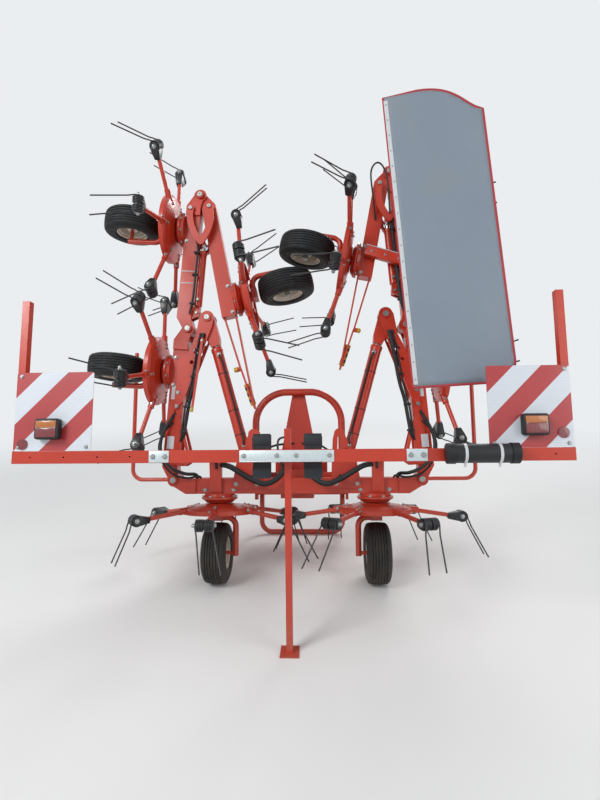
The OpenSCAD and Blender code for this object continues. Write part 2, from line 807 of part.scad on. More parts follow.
module tip_rod(side) {
    len = norm(knee_0 - tip_base);
    color(steel) tip_cyl_axes(side) {
        rod([tip_neck + 20, 0, 0], [len - 8, 0, 0], tip_rod_d / 2);
        bar_y(len, 0, tip_eye_r, 60);
        bar_y(len, 0, knee_pin_r, 2 * (knee_b_y - seat_gap));
    }
}

// Pressed dish with a deep rim, its hub round the fixed column and its arms in sockets
module rotor(r) {
    hub = column_r + pin_gap;
    drop = housing_low + 36;
    color(red) rotor_axes(r) {
        translate([0, 0, -housing_low]) rotate_extrude()
            polygon([[hub, -3], [96, -3], [106, -9], [170, -14], [dish_r - 16, -28], [dish_r, -42],
                [dish_r, -dish_deep], [dish_r - 8, -dish_deep], [dish_r - 8, -47], [dish_r - 22, -38], [168, -25], [112, -22], [84, -66],
                [hub, -66]]);
        for (i = [0:arm_count - 1]) rotate(r[R_PHASE] + i * 360 / arm_count) {
            rod([dish_r - 90, 0, -drop], [coil_r - 20, 0, -coil_drop], arm_d / 2);
            rod([dish_r - 70, 0, -drop], [dish_r + 40, 0, -drop - 16], arm_d / 2 + 7);
        }
    }
}

// Six double tines: a ribbed pair of coils on a tapered holder, and two legs that run down and out
module tines(r) {
    c = coil_r + 20;
    color(black) rotor_axes(r)
        for (i = [0:arm_count - 1]) rotate(r[R_PHASE] + i * 360 / arm_count) {
            translate([c, 0, -coil_drop]) rotate([90, 0, 0]) {
                coils();
                cylinder(r = coil_out - 6, h = 12, center = true);
                cylinder(r = 10, h = coil_w + 16, center = true);
            }
            plate_y([[coil_r - 17.4, -coil_drop - 12], [coil_r - 17.4, -coil_drop + 12], [c, -coil_drop + 22],
                [c, -coil_drop - 22]], -11, 22);
            for (s = [-1, 1])
                rod([c + coil_out - tine_d, s * (coil_w / 2 - tine_d / 2), -coil_drop],
                    [tip_r, s * tine_tip_gap / 2 + r[R_TRAIL] * tine_trail, -tip_drop], tine_d / 2);
        }
}

// The two coils of a double tine in one ribbed sleeve, a rib to each turn
module coils() {
    pitch = coil_w / coil_turns;
    rotate_extrude() polygon(concat([[coil_out - tine_d, -coil_w / 2]],
        [for (i = [0:coil_turns - 1], e = [[0, tine_d / 2], [0.5, 0]])
            [coil_out - e.y, -coil_w / 2 + (i + e.x) * pitch]],
        [[coil_out - tine_d / 2, coil_w / 2], [coil_out - tine_d, coil_w / 2]]));
}

// Tyre, axle along X
module tyre(r) {
    w = tyre_w / 2;
    b = rim_d / 2;
    color(black) rotor_axes(r) translate([0, -wheel_trail, -axle_drop]) rotate([0, 90, 0]) rotate_extrude()
        polygon([[b, -w + 22], [b + 20, -w + 4], [b + 52, -w], [tyre_r - 24, -w + 8], [tyre_r - 6, -w + 24],
            [tyre_r, -w + 50], [tyre_r, w - 50], [tyre_r - 6, w - 24], [tyre_r - 24, w - 8], [b + 52, w],
            [b + 20, w - 4], [b, w - 22]]);
}

module rim(r) {
    w = tyre_w / 2 - 22;
    b = rim_d / 2 - 0.3;
    color(cream) rotor_axes(r) translate([0, -wheel_trail, -axle_drop]) rotate([0, 90, 0]) rotate_extrude()
        polygon([[b, -w], [b, w], [b - 9, w], [b - 15, w - 12], [b - 17, 4], [62, -4], [44, 12], [40, 36],
            [axle_d / 2 + pin_gap, 36], [axle_d / 2 + pin_gap, -34], [40, -34], [42, -6], [60, -16], [b - 17, -10],
            [b - 15, 12 - w], [b - 9, -w]]);
}

// Points along a curve with four control points
function curve(a, b, c, d) = [for (u = [0:0.125:1])
    (1 - u) ^ 3 * a + 3 * u * (1 - u) ^ 2 * b + 3 * u ^ 2 * (1 - u) * c + u ^ 3 * d];

// Canvas with a swept upper corner and a round lower one
module shield_cloth() {
    top = shield_pole_h + 14;
    peak = shield_high_s + 52;
    color(canvas) wing_axes(1) plate_y(concat([[shield_low_s - 8, top], [shield_high_s + 14, top]],
        curve([peak - 14, -60], [peak + 4, -300], [peak - 150, -330], [peak - 166, -shield_drop]),
        curve([shield_low_s + 110, -shield_drop + 8], [shield_low_s + 20, -shield_drop + 8],
            [shield_low_s - 12, -shield_drop + 70], [shield_low_s - 14, -270])),
        shield_pole_y - 14 - shield_t, shield_t);
}

for (s = SIDES) {
    wing_inner(s[S_SIGN]);
    wing_middle(s[S_SIGN]);
    wing_tip(s[S_SIGN]);
    lift_barrel(s[S_SIGN]);
    lift_rod(s[S_SIGN]);
    knee_inner(s[S_SIGN]);
    knee_outer(s[S_SIGN]);
    tip_barrel(s[S_SIGN]);
    tip_rod(s[S_SIGN]);
}
for (r = ROTORS) {
    rotor(r);
    tines(r);
    tyre(r);
    rim(r);
}
centre_beam();
gearbox();
headstock();
side_guards();
front_stand();
rear_stand();
rear_bar();
warning_panels();
document_tube();
shield_cloth();
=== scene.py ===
"""Folded hay tedder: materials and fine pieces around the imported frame. Metres, row frame."""
import math

import bmesh
import bpy
from mathutils import Matrix, Vector
from mathutils.geometry import interpolate_bezier


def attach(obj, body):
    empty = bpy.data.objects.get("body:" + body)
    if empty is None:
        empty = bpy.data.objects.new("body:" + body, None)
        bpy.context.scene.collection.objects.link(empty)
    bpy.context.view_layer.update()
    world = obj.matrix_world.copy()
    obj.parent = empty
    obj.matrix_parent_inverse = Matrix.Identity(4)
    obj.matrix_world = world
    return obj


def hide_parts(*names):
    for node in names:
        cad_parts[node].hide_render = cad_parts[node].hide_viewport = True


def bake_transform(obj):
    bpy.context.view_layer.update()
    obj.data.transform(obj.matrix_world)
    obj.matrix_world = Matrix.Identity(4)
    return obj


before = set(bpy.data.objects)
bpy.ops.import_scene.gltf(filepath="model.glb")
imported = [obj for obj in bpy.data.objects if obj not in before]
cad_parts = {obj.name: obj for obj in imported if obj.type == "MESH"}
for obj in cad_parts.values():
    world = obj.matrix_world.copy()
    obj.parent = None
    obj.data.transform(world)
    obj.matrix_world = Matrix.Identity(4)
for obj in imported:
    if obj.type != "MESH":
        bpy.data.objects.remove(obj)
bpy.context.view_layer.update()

# Sizes and places in metres, most of them the frame's own; machine axes: X right, Y forward, Z up
PARK_PITCH = math.radians(14)
ORIGIN_Y = 0.25
HINGE_X, HINGE_Z = 0.86, 0.69
WING_FOLD, TIP_FOLD = math.radians(94), math.radians(165)
ROTOR_PITCH = 1.09
INNER_S, FLOAT_S = 0.775, 1.09
TIP_HINGE = {"left": 2.12, "right": 2.26}
SIGN = {"left": -1, "right": 1}
SIDES = ("left", "right")
BEAM_W, BEAM_LOW, BEAM_TOP = 0.09, 0.0965, 0.0105
# How far out the pins' heads stand on the hinges and on both cylinders' lugs
PIN_HEAD_Y, LIFT_BASE_Y, LIFT_EYE_Y, TIP_BASE_Y = 0.079, 0.0675, 0.0677, 0.0392
LIFT_PLATE_Y = 0.0566
HOUSING_LOW, HOUSING_BOLTS, HOUSING_BOLT_R, HOUSING_BOLT_DROP = 0.1595, 8, 0.1165, 0.1165
ARM_COUNT = 6
DISH_R = 0.25
COIL_C, COIL_DROP, COIL_OUT, COIL_W, COIL_TURNS = 0.576, 0.25, 0.038, 0.108, 4.5
TIP_R, TIP_DROP = 0.715, 0.503
TINE_TIP_GAP, TINE_TRAIL, TINE_WIRE = 0.12, 0.06, 0.00475
TYRE_R, GROOVE_DEPTH, CROWN_BEND, RIM_HALF = 0.203, 0.0065, 1.3, 0.061
WHEEL_TRAIL = 0.049
AXLE_DROP = HINGE_Z - TYRE_R / math.cos(PARK_PITCH) + WHEEL_TRAIL * math.tan(PARK_PITCH)
LIFT_BASE, LIFT_EYE = (0.36, 0.85), (1.183, 0.131)
LIFT_BARREL, LIFT_BARREL_R, LIFT_ROD_R = 0.82, 0.0398, 0.0205
KNEE_B, KNEE_C, KNEE_0, TIP_BASE = (-0.111, -0.06), (-0.102, 0.084), (-0.372, 0.046), (-0.9, 0.044)
KNEE_B_Y, KNEE_C_Y, KNEE_T = 0.066, 0.086, 0.014
BAR_Y, BAR_Z, BAR_FACE = -0.94, 0.84, 0.03
BAR_PLATE_X = 0.668
STOP_X, STOP_W, STOP_H, STOP_RIBS = 0.136, 0.092, 0.236, 9
PANEL_X, PANEL_SIDE, PANEL_Z, PANEL_Y, PANEL_T = 1.245, 0.423, 0.873, -0.966, 0.004
PANEL_BOLT_X, PANEL_BOLT_Z = 0.185, 0.19
REFLECTOR_X, REFLECTOR_UP = 1.405, {"left": 0.036, "right": 0.075}
LAMP_X, LAMP_Z, LAMP_W, LAMP_H, LAMP_T = 1.255, 0.988, 0.13, 0.11, 0.055
DOC_X, DOC_L, DOC_Y, DOC_Z, DOC_R, DOC_BODY_R = 0.8, 0.36, -1.022, 0.845, 0.052, 0.0478
SHIELD_Y, SHIELD_START, SHIELD_END, SHIELD_LOW, POLE_H = -0.8475, 0.52, 2.28, -0.43, 0.128
HOSE_Y = -0.062
# How far each rotor has turned, read from the photo, and which way its tines trail
PHASE = {"centre_left": 27, "centre_right": -3, "inner_left": 15, "inner_right": 20,
         "middle_left": 20, "middle_right": 20, "tip_left": 20, "tip_right": 55}
TRAIL = {"centre": -1, "inner": 1, "middle": -1, "tip": 1}


def at_point(x, y, z):
    return Matrix.Translation((x, y, z))


def turned(angle, axis):
    return Matrix.Rotation(angle, 4, axis)


def facing(x, y, z, way):
    """Axes at a point whose Z looks along a direction."""
    return at_point(x, y, z) @ Vector(way).to_track_quat("Z", "Y").to_matrix().to_4x4()


def on_side(side):
    """Mirrors what is drawn for the right to the given side."""
    return Matrix.Diagonal((SIGN[side], 1, 1, 1))


PARKED = at_point(0, -ORIGIN_Y, 0) @ turned(-PARK_PITCH, "X")


def wing_axes(side):
    """A folded wing: X out along it from its hinge, Y forward, Z over its back."""
    return PARKED @ on_side(side) @ at_point(HINGE_X, 0, HINGE_Z) @ turned(-WING_FOLD, "Y")


def tip_axes(side):
    """A tip beam folded back over its wing: X out along it from the tip hinge."""
    return wing_axes(side) @ at_point(TIP_HINGE[side], 0, 0) @ turned(-TIP_FOLD, "Y")


def rotor_along(section, side):
    """How far along its wing or tip beam a rotor stands."""
    return {"inner": INNER_S, "middle": INNER_S + ROTOR_PITCH,
            "tip": INNER_S + 2 * ROTOR_PITCH - TIP_HINGE[side]}[section]


def rotor_axes(section, side):
    """A rotor: Z up its column, from the height of the hinges."""
    if section == "centre":
        return PARKED @ on_side(side) @ at_point(ROTOR_PITCH / 2, 0, HINGE_Z)
    beam = tip_axes(side) if section == "tip" else wing_axes(side)
    return beam @ at_point(rotor_along(section, side), 0, 0)


def lift_axes(side):
    """A lift cylinder: X from its lower pin to its upper one."""
    reach_x = HINGE_X + LIFT_EYE[0] * math.cos(WING_FOLD) - LIFT_EYE[1] * math.sin(WING_FOLD) - LIFT_BASE[0]
    reach_z = HINGE_Z + LIFT_EYE[0] * math.sin(WING_FOLD) + LIFT_EYE[1] * math.cos(WING_FOLD) - LIFT_BASE[1]
    return (PARKED @ on_side(side) @ at_point(LIFT_BASE[0], 0, LIFT_BASE[1])
            @ turned(-math.atan2(reach_z, reach_x), "Y"))


def tip_cylinder_axes(side):
    """A tip cylinder: X from its pin on the middle beam to the knee."""
    dx, dz = KNEE_0[0] - TIP_BASE[0], KNEE_0[1] - TIP_BASE[1]
    return (wing_axes(side) @ at_point(TIP_HINGE[side] + TIP_BASE[0], 0, TIP_BASE[1])
            @ turned(-math.atan2(dz, dx), "Y"))


def linear(code):
    """An sRGB hex colour as linear RGBA."""
    parts = [int(code[i:i + 2], 16) / 255 for i in (1, 3, 5)]
    return (*[c / 12.92 if c <= 0.04045 else ((c + 0.055) / 1.055) ** 2.4 for c in parts], 1)


def add(tree, kind, settings=None, inputs=None):
    """Adds a shader node with its settings; an input is given a value or linked to a socket."""
    made = tree.nodes.new("ShaderNode" + kind)
    for name, value in (settings or {}).items():
        setattr(made, name, value)
    for name, value in (inputs or {}).items():
        if isinstance(value, bpy.types.NodeSocket):
            tree.links.new(value, made.inputs[name])
        else:
            made.inputs[name].default_value = value
    return made


def new_material(name, shader_inputs):
    """A material with its shader and object coordinates: (material, tree, shader, coordinates)."""
    mat = bpy.data.materials.new(name)
    mat.use_nodes = True
    tree = mat.node_tree
    tree.nodes.clear()
    shader = add(tree, "BsdfPrincipled", inputs=shader_inputs)
    add(tree, "OutputMaterial", inputs={"Surface": shader.outputs[0]})
    return mat, tree, shader, add(tree, "TexCoord").outputs["Object"]


def node_of(tree, kind):
    """The first node of a kind in a tree."""
    return next(n for n in tree.nodes if n.type == kind)


def link(tree, socket, shader, name):
    tree.links.new(socket, shader.inputs[name])


def mottled(tree, coords, scale, low, high, detail=4.0):
    """Noise of one scale, mapped between two values or two colours."""
    noise = add(tree, "TexNoise", inputs={"Vector": coords, "Scale": scale, "Detail": detail}).outputs["Fac"]
    if isinstance(low, tuple):
        return add(tree, "Mix", {"data_type": "RGBA"}, {0: noise, 6: low, 7: high}).outputs[2]
    return add(tree, "MapRange", inputs={
        "Value": noise, "From Min": 0.3, "From Max": 0.7, "To Min": low, "To Max": high}).outputs[0]


def road_dust(tree, coords, colour, reach, amount):
    """Dust thrown up from the ground: strongest at the ground, gone at the given height."""
    height = add(tree, "SeparateXYZ", inputs={0: coords}).outputs[2]
    fade = add(tree, "MapRange", inputs={
        "Value": height, "From Min": 0.0, "From Max": reach, "To Min": amount, "To Max": 0.0})
    patches = mottled(tree, coords, 14.0, 0.15, 1.0)
    share = add(tree, "Math", {"operation": "MULTIPLY"}, {0: fade.outputs[0], 1: patches}).outputs[0]
    return add(tree, "Mix", {"data_type": "RGBA"}, {0: share, 6: colour, 7: linear("#8D7C66")}).outputs[2]


def edge_mask(tree, rounded, low, high):
    """1 along sharp edges, 0 on flats, from how far a rounded normal leaves the true one."""
    true = add(tree, "NewGeometry").outputs["Normal"]
    agree = add(tree, "VectorMath", {"operation": "DOT_PRODUCT"}, {0: rounded, 1: true})
    return add(tree, "MapRange", inputs={
        "Value": agree.outputs["Value"], "From Min": high, "From Max": low,
        "To Min": 0.0, "To Max": 1.0}).outputs[0]


def bumped(tree, coords, scale, height, normal=None):
    """A normal roughened by noise of one scale, on top of another normal where one is given."""
    noise = add(tree, "TexNoise", inputs={"Vector": coords, "Scale": scale, "Detail": 2.0})
    inputs = {"Height": noise.outputs["Fac"], "Distance": height, "Strength": 1.0}
    if normal:
        inputs["Normal"] = normal
    return add(tree, "Bump", inputs=inputs).outputs[0]


def enamel(name, main, shade, worn, dust_reach, dust_amount, roughness, edge=0.0025):
    """Baked enamel on steel: even gloss with a faint orange peel, chipped thin on edges, dusty low down."""
    mat, tree, shader, coords = new_material(name, {"IOR": 1.5, "Coat Weight": 0.25, "Coat Roughness": 0.18})
    colour = mottled(tree, coords, 2.2, linear(shade), linear(main))
    rounded = add(tree, "Bevel", {"samples": 4}, {"Radius": edge}).outputs[0]
    chips = mottled(tree, coords, 55.0, -0.9, 0.75, 6.0)
    wear = add(tree, "Math", {"operation": "MULTIPLY", "use_clamp": True},
               {0: edge_mask(tree, rounded, 0.55, 0.985), 1: chips}).outputs[0]
    colour = add(tree, "Mix", {"data_type": "RGBA"}, {0: wear, 6: colour, 7: linear(worn)}).outputs[2]
    link(tree, road_dust(tree, coords, colour, dust_reach, dust_amount), shader, "Base Color")
    link(tree, mottled(tree, coords, 9.0, roughness - 0.06, roughness + 0.08), shader, "Roughness")
    # orange peel is about 2 mm across; drawn at 4 mm so that it shows
    link(tree, bumped(tree, coords, 250.0, 0.00012, rounded), shader, "Normal")
    return mat


def rubber(name, main, shade, roughness, grain_mm, dust_amount):
    """Moulded carbon-black rubber: dull, a little paler where it is scuffed, dusty low down."""
    mat, tree, shader, coords = new_material(name, {"IOR": 1.52, "Specular IOR Level": 0.4})
    colour = mottled(tree, coords, 18.0, linear(shade), linear(main))
    link(tree, road_dust(tree, coords, colour, 0.5, dust_amount), shader, "Base Color")
    link(tree, mottled(tree, coords, 30.0, roughness - 0.1, roughness + 0.08), shader, "Roughness")
    link(tree, bumped(tree, coords, 1000.0 / grain_mm, 0.0002), shader, "Normal")
    return mat


def plated_metal(name, main, shade, roughness, spangle_mm, metallic):
    """Metal dipped or plated: grey-blue, in crystals of slightly different brightness."""
    mat, tree, shader, coords = new_material(name, {"Metallic": metallic})
    cells = add(tree, "TexVoronoi", inputs={"Vector": coords, "Scale": 1000.0 / spangle_mm})
    tone = add(tree, "SeparateColor", inputs={0: cells.outputs["Color"]}).outputs[0]
    colour = add(tree, "Mix", {"data_type": "RGBA"}, {0: tone, 6: linear(shade), 7: linear(main)})
    link(tree, colour.outputs[2], shader, "Base Color")
    link(tree, mottled(tree, coords, 40.0, roughness - 0.08, roughness + 0.1), shader, "Roughness")
    rounded = add(tree, "Bevel", {"samples": 4}, {"Radius": 0.0015}).outputs[0]
    link(tree, bumped(tree, coords, 160.0, 0.0001, rounded), shader, "Normal")
    return mat


def moulded(name, main, shade, roughness, grain_mm=1.5):
    """Injection-moulded plastic with the fine grain of its mould."""
    mat, tree, shader, coords = new_material(name, {"IOR": 1.49, "Coat Roughness": 0.05})
    link(tree, mottled(tree, coords, 12.0, linear(shade), linear(main)), shader, "Base Color")
    link(tree, mottled(tree, coords, 25.0, roughness - 0.05, roughness + 0.07), shader, "Roughness")
    rounded = add(tree, "Bevel", {"samples": 4}, {"Radius": 0.0015}).outputs[0]
    link(tree, bumped(tree, coords, 1000.0 / grain_mm, 0.00008, rounded), shader, "Normal")
    return mat


def lens(name, main, shade):
    """Clear dyed acrylic over prisms: glossy outside, with ribs 6 mm apart underneath."""
    mat, tree, shader, coords = new_material(name, {
        "IOR": 1.49, "Roughness": 0.25, "Coat Weight": 1.0, "Coat Roughness": 0.03})
    ribs = add(tree, "TexWave", {"bands_direction": "X"}, {"Vector": coords, "Scale": 50.0}).outputs["Fac"]
    colour = add(tree, "Mix", {"data_type": "RGBA"}, {0: ribs, 6: linear(shade), 7: linear(main)})
    link(tree, colour.outputs[2], shader, "Base Color")
    link(tree, add(tree, "Bump", inputs={"Height": ribs, "Distance": 0.0006}).outputs[0], shader, "Normal")
    return mat


def reflective(name, main, shade):
    """Retroreflective sheeting: a pale film over a grid of sealed cells 4 mm across."""
    mat, tree, shader, coords = new_material(name, {
        "IOR": 1.5, "Roughness": 0.35, "Coat Weight": 0.4, "Coat Roughness": 0.1})
    cells = add(tree, "TexVoronoi", {"feature": "DISTANCE_TO_EDGE"},
                {"Vector": coords, "Scale": 250.0, "Randomness": 0.0})
    seam = add(tree, "MapRange", inputs={
        "Value": cells.outputs["Distance"], "From Min": 0.0, "From Max": 0.08, "To Min": 0.0, "To Max": 1.0})
    tone = mottled(tree, coords, 5.0, 0.55, 1.0)
    share = add(tree, "Math", {"operation": "MULTIPLY"}, {0: seam.outputs[0], 1: tone}).outputs[0]
    colour = add(tree, "Mix", {"data_type": "RGBA"}, {0: share, 6: linear(shade), 7: linear(main)})
    link(tree, road_dust(tree, coords, colour.outputs[2], 1.6, 0.12), shader, "Base Color")
    return mat


def canvas():
    """PVC-coated polyester: smooth grey film over a 4 mm weave, with soft scuffs and stains."""
    mat, tree, shader, coords = new_material("pvc_coated_canvas", {"IOR": 1.5, "Sheen Weight": 0.15})
    colour = mottled(tree, coords, 1.6, linear("#76828F"), linear("#8A96A2"), 8.0)
    stain = mottled(tree, coords, 3.1, -0.6, 0.22, 5.0)
    stain = add(tree, "Math", {"operation": "MAXIMUM"}, {0: stain, 1: 0.0}).outputs[0]
    colour = add(tree, "Mix", {"data_type": "RGBA"}, {0: stain, 6: colour, 7: linear("#8B8876")})
    link(tree, colour.outputs[2], shader, "Base Color")
    link(tree, mottled(tree, coords, 6.0, 0.42, 0.6), shader, "Roughness")
    threads = [
        add(tree, "TexWave", {"bands_direction": way}, {"Vector": coords, "Scale": 80.0}).outputs["Fac"]
        for way in ("X", "Z")]
    weave = add(tree, "Math", {"operation": "ADD"}, {0: threads[0], 1: threads[1]}).outputs[0]
    puckers = bumped(tree, coords, 7.0, 0.006)
    woven = add(tree, "Bump", inputs={"Height": weave, "Distance": 0.00015, "Normal": puckers})
    link(tree, woven.outputs[0], shader, "Normal")
    return mat


RED = enamel("red_baked_enamel", "#C4381F", "#B6311B", "#80281E", 0.75, 0.3, 0.34)
CREAM = enamel("cream_rim_enamel", "#CFC9BA", "#C2BBAA", "#8A7F6B", 0.6, 0.2, 0.4)
# Spring steel dipped in thin black paint: satin, rubbed brown along the wire
SPRING = enamel("black_painted_spring_steel", "#1A1C20", "#131518", "#4B3F38", 0.3, 0.2, 0.42, 0.001)
TYRE = rubber("tyre_rubber", "#1A1B1D", "#121314", 0.7, 2.5, 0.22)
HOSE = rubber("hydraulic_hose_rubber", "#1B1D20", "#121416", 0.55, 1.2, 0.1)
BUFFER = rubber("moulded_buffer_rubber", "#252A31", "#1C2026", 0.6, 2.0, 0.1)
# Hot-dip zinc is pale and spangled, electroplated fasteners are darker and finer
GALVANISED = plated_metal("hot_dip_zinc", "#D2DCDE", "#C6D1D4", 0.46, 6.0, 0.45)
PLATED = plated_metal("zinc_plated_fastener", "#A9AEAC", "#969B98", 0.34, 3.0, 0.9)
# Hard chrome ground to a mirror: its tone hardly changes along the rod
CHROME = plated_metal("hard_chrome_rod", "#D8DADC", "#CED1D4", 0.16, 20.0, 1.0)
ABS = moulded("black_abs", "#191B1F", "#121417", 0.48)
WHITE_FILM = reflective("white_reflective_film", "#DCE1E8", "#CDD3DC")
RED_FILM = reflective("red_reflective_film", "#B5383A", "#A63236")
AMBER = lens("amber_lens", "#D07A2A", "#9A4F16")
LAMP_RED = lens("red_lens", "#8E2A30", "#5E1A20")
YELLOW = moulded("yellow_marker_plastic", "#C9A61E", "#B08E14", 0.4)
# Calendered vinyl, thin and even, with a soft shine
STICKER = moulded("white_vinyl_sticker", "#D6D9DB", "#C4C8CB", 0.35)
PVC = canvas()
# Woven webbing sewn round the canvas: dull, with a 3 mm rib that shows as grain
RED_WEBBING = moulded("red_hem_webbing", "#B23A40", "#9C3036", 0.6, 3.0)


def two_tone_rod():
    """The lift cylinder's rod: hard chrome near its axis, red enamel on the flat head that it ends in."""
    mat = RED.copy()
    mat.name = "chrome_rod_with_enamel_head"
    tree = mat.node_tree
    coords = node_of(tree, "TEX_COORD").outputs["Object"]
    enamelled = node_of(tree, "BSDF_PRINCIPLED").outputs[0]
    chrome = add(tree, "BsdfPrincipled", inputs={
        "Base Color": linear("#D8DADC"), "Metallic": 1.0, "Roughness": 0.16}).outputs[0]
    near = []
    for side in SIDES:
        eye = wing_axes(side) @ Vector((LIFT_EYE[0], 0, LIFT_EYE[1]))
        base = PARKED @ on_side(side) @ Vector((LIFT_BASE[0], 0, LIFT_BASE[1]))
        offset = add(tree, "VectorMath", {"operation": "SUBTRACT"}, {0: coords, 1: base})
        across = add(tree, "VectorMath", {"operation": "CROSS_PRODUCT"},
                     {0: offset.outputs[0], 1: (eye - base).normalized()})
        away = add(tree, "VectorMath", {"operation": "LENGTH"}, {0: across.outputs[0]}).outputs["Value"]
        near.append(add(tree, "Math", {"operation": "LESS_THAN"}, {0: away, 1: LIFT_ROD_R}).outputs[0])
    either = add(tree, "Math", {"operation": "MAXIMUM"}, dict(enumerate(near))).outputs[0]
    mixed = add(tree, "MixShader", inputs={0: either, 1: enamelled, 2: chrome})
    link(tree, mixed.outputs[0], node_of(tree, "OUTPUT_MATERIAL"), "Surface")
    return mat


NODE_MATERIALS = {"tyre": TYRE, "rim": CREAM, "tines": SPRING, "warning_panels": WHITE_FILM,
                  "document_tube": ABS, "shield_cloth": PVC, "tip_rod": CHROME, "lift_rod": two_tone_rod()}
for node_name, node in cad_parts.items():
    chosen = next((m for start, m in NODE_MATERIALS.items() if node_name.startswith(start)), RED)
    node.data.materials.clear()
    node.data.materials.append(chosen)


def piece(name, bm, materials, body, axes=Matrix(), crease=35, replaces=()):
    """Turns a built mesh into an object; it rides the body, if given."""
    bmesh.ops.transform(bm, matrix=axes, verts=bm.verts)
    bmesh.ops.recalc_face_normals(bm, faces=bm.faces)
    mesh = bpy.data.meshes.new(name)
    bm.to_mesh(mesh)
    bm.free()
    mesh.shade_smooth()
    mesh.set_sharp_from_angle(angle=math.radians(crease))
    for mat in materials:
        mesh.materials.append(mat)
    obj = bpy.data.objects.new(name, mesh)
    bpy.context.scene.collection.objects.link(obj)
    if body:
        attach(obj, body)
    if replaces:
        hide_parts(*replaces)
    return obj


def only(geom, kind):
    """What an operator made of one kind: vertices or edges."""
    return [g for g in geom if isinstance(g, kind)]


def paint(verts, material):
    """Gives the faces of the given vertices one material number."""
    for face in {f for v in verts for f in v.link_faces}:
        face.material_index = material


def reach(start):
    """All the vertices joined to one."""
    seen, edge = {start}, [start]
    while edge:
        for link_edge in edge.pop().link_edges:
            for other in link_edge.verts:
                if other not in seen:
                    seen.add(other)
                    edge.append(other)
    return seen


def lathe(bm, profile, axes=Matrix(), steps=32, material=0):
    """Spins a closed (along, radius) outline round the X axis."""
    verts = [bm.verts.new((x, 0, r)) for x, r in profile]
    edges = [bm.edges.new(pair) for pair in zip(verts, verts[1:] + verts[:1])]
    bmesh.ops.spin(bm, geom=verts + edges, cent=(0, 0, 0), axis=(1, 0, 0), angle=math.tau, steps=steps,
                   use_merge=True)
    made = {v for start in verts for v in reach(start)}
    on_axis = [v for v in made if math.hypot(v.co.y, v.co.z) < 1e-6]
    bmesh.ops.transform(bm, matrix=axes, verts=list(made))
    paint(made, material)
    if on_axis:
        bmesh.ops.remove_doubles(bm, verts=on_axis, dist=1e-5)


def slab(bm, axes, size, bevel=0.002, segments=2, material=0):
    """A block of the given size with rounded edges, centred on its axes."""
    made = bmesh.ops.create_cube(bm, size=1, matrix=Matrix.Diagonal((*size, 1)))["verts"]
    edges = list({e for v in made for e in v.link_edges})
    done = bmesh.ops.bevel(bm, geom=edges, offset=bevel, segments=segments, profile=0.5, affect="EDGES",
                           material=-1)
    verts = list({v for f in done["faces"] for v in f.verts} | {v for v in made if v.is_valid})
    bmesh.ops.transform(bm, matrix=axes, verts=verts)
    paint(verts, material)
    return verts


def bolt(bm, axes, size=0.019, material=0, nut=False):
    """Hex head with a chamfered top on its washer, up from Z = 0; a nut shows its thread's end."""
    washer, height = size * 0.12, size * (0.75 if nut else 0.5)

    def disc(sides, radius1, radius2, depth, z):
        return bmesh.ops.create_cone(
            bm, cap_ends=True, segments=sides, radius1=size * radius1, radius2=size * radius2, depth=depth,
            matrix=axes @ at_point(0, 0, z))["verts"]

    made = disc(18, 0.78, 0.74, washer, washer / 2)
    head = disc(6, 0.577, 0.577, height, washer + height / 2)
    top = axes @ Vector((0, 0, washer + height))
    way = axes.to_3x3() @ Vector((0, 0, 1))
    rim = {e for v in head for e in v.link_edges if all(abs((u.co - top).dot(way)) < 1e-5 for u in e.verts)}
    made += bmesh.ops.bevel(bm, geom=list(rim), offset=size * 0.08, segments=1, profile=0.5, affect="EDGES",
                            material=-1)["verts"] + head
    if nut:
        made += disc(12, 0.32, 0.27, size * 0.35, washer + height)
    paint([v for v in made if v.is_valid], material)


def ring(bm, sides, radius, axes, capped=False):
    """A circle across its axes, as (vertices, edges)."""
    verts = bmesh.ops.create_circle(bm, cap_ends=capped, segments=sides, radius=radius, matrix=axes)["verts"]
    return verts, list({e for v in verts for e in v.link_edges})


def draw_out(bm, edges, path, rib=0.0):
    """Extrudes a ring of edges along a path from its first point; rib makes every second ring thinner."""
    path = [Vector(p) for p in path]
    ways = [(path[min(i + 1, len(path) - 1)] - path[max(i - 1, 0)]).normalized() for i in range(len(path))]
    for i in range(1, len(path)):
        made = bmesh.ops.extrude_edge_only(bm, edges=edges)["geom"]
        verts = only(made, bmesh.types.BMVert)
        edges = [e for e in only(made, bmesh.types.BMEdge) if all(v in verts for v in e.verts)]
        turn = ways[i - 1].rotation_difference(ways[i]).to_matrix().to_4x4()
        size = 1 - rib if i % 2 else 1 / (1 - rib)
        bmesh.ops.transform(bm, verts=verts, matrix=at_point(*path[i]) @ turn @ Matrix.Scale(size, 4)
                            @ at_point(*-path[i - 1]))
    return edges


def smooth_path(points, step):
    """Points about a step apart on a smooth curve through the given ones."""
    points = [Vector(p) for p in points]
    ends = [points[0] * 2 - points[1], *points, points[-1] * 2 - points[-2]]
    path = [points[0]]
    for i in range(1, len(points)):
        before, a, b, after = ends[i - 1:i + 3]
        count = max(2, round((b - a).length / step) + 1)
        path += interpolate_bezier(a, a + (b - before) / 6, b - (after - a) / 6, b, count)[1:]
    return path


def hose(bm, points, radius, sides=8, step=None, rib=0.0, material=0):
    """A round hose or rod, closed at both ends; with a step it bends smoothly through its points."""
    path = smooth_path(points, step) if step else [Vector(p) for p in points]
    verts, edges = ring(bm, sides, radius, facing(*path[0], path[1] - path[0]), capped=True)
    last = draw_out(bm, edges, path, rib)
    bmesh.ops.holes_fill(bm, edges=last, sides=sides)
    paint(reach(verts[0]), material)


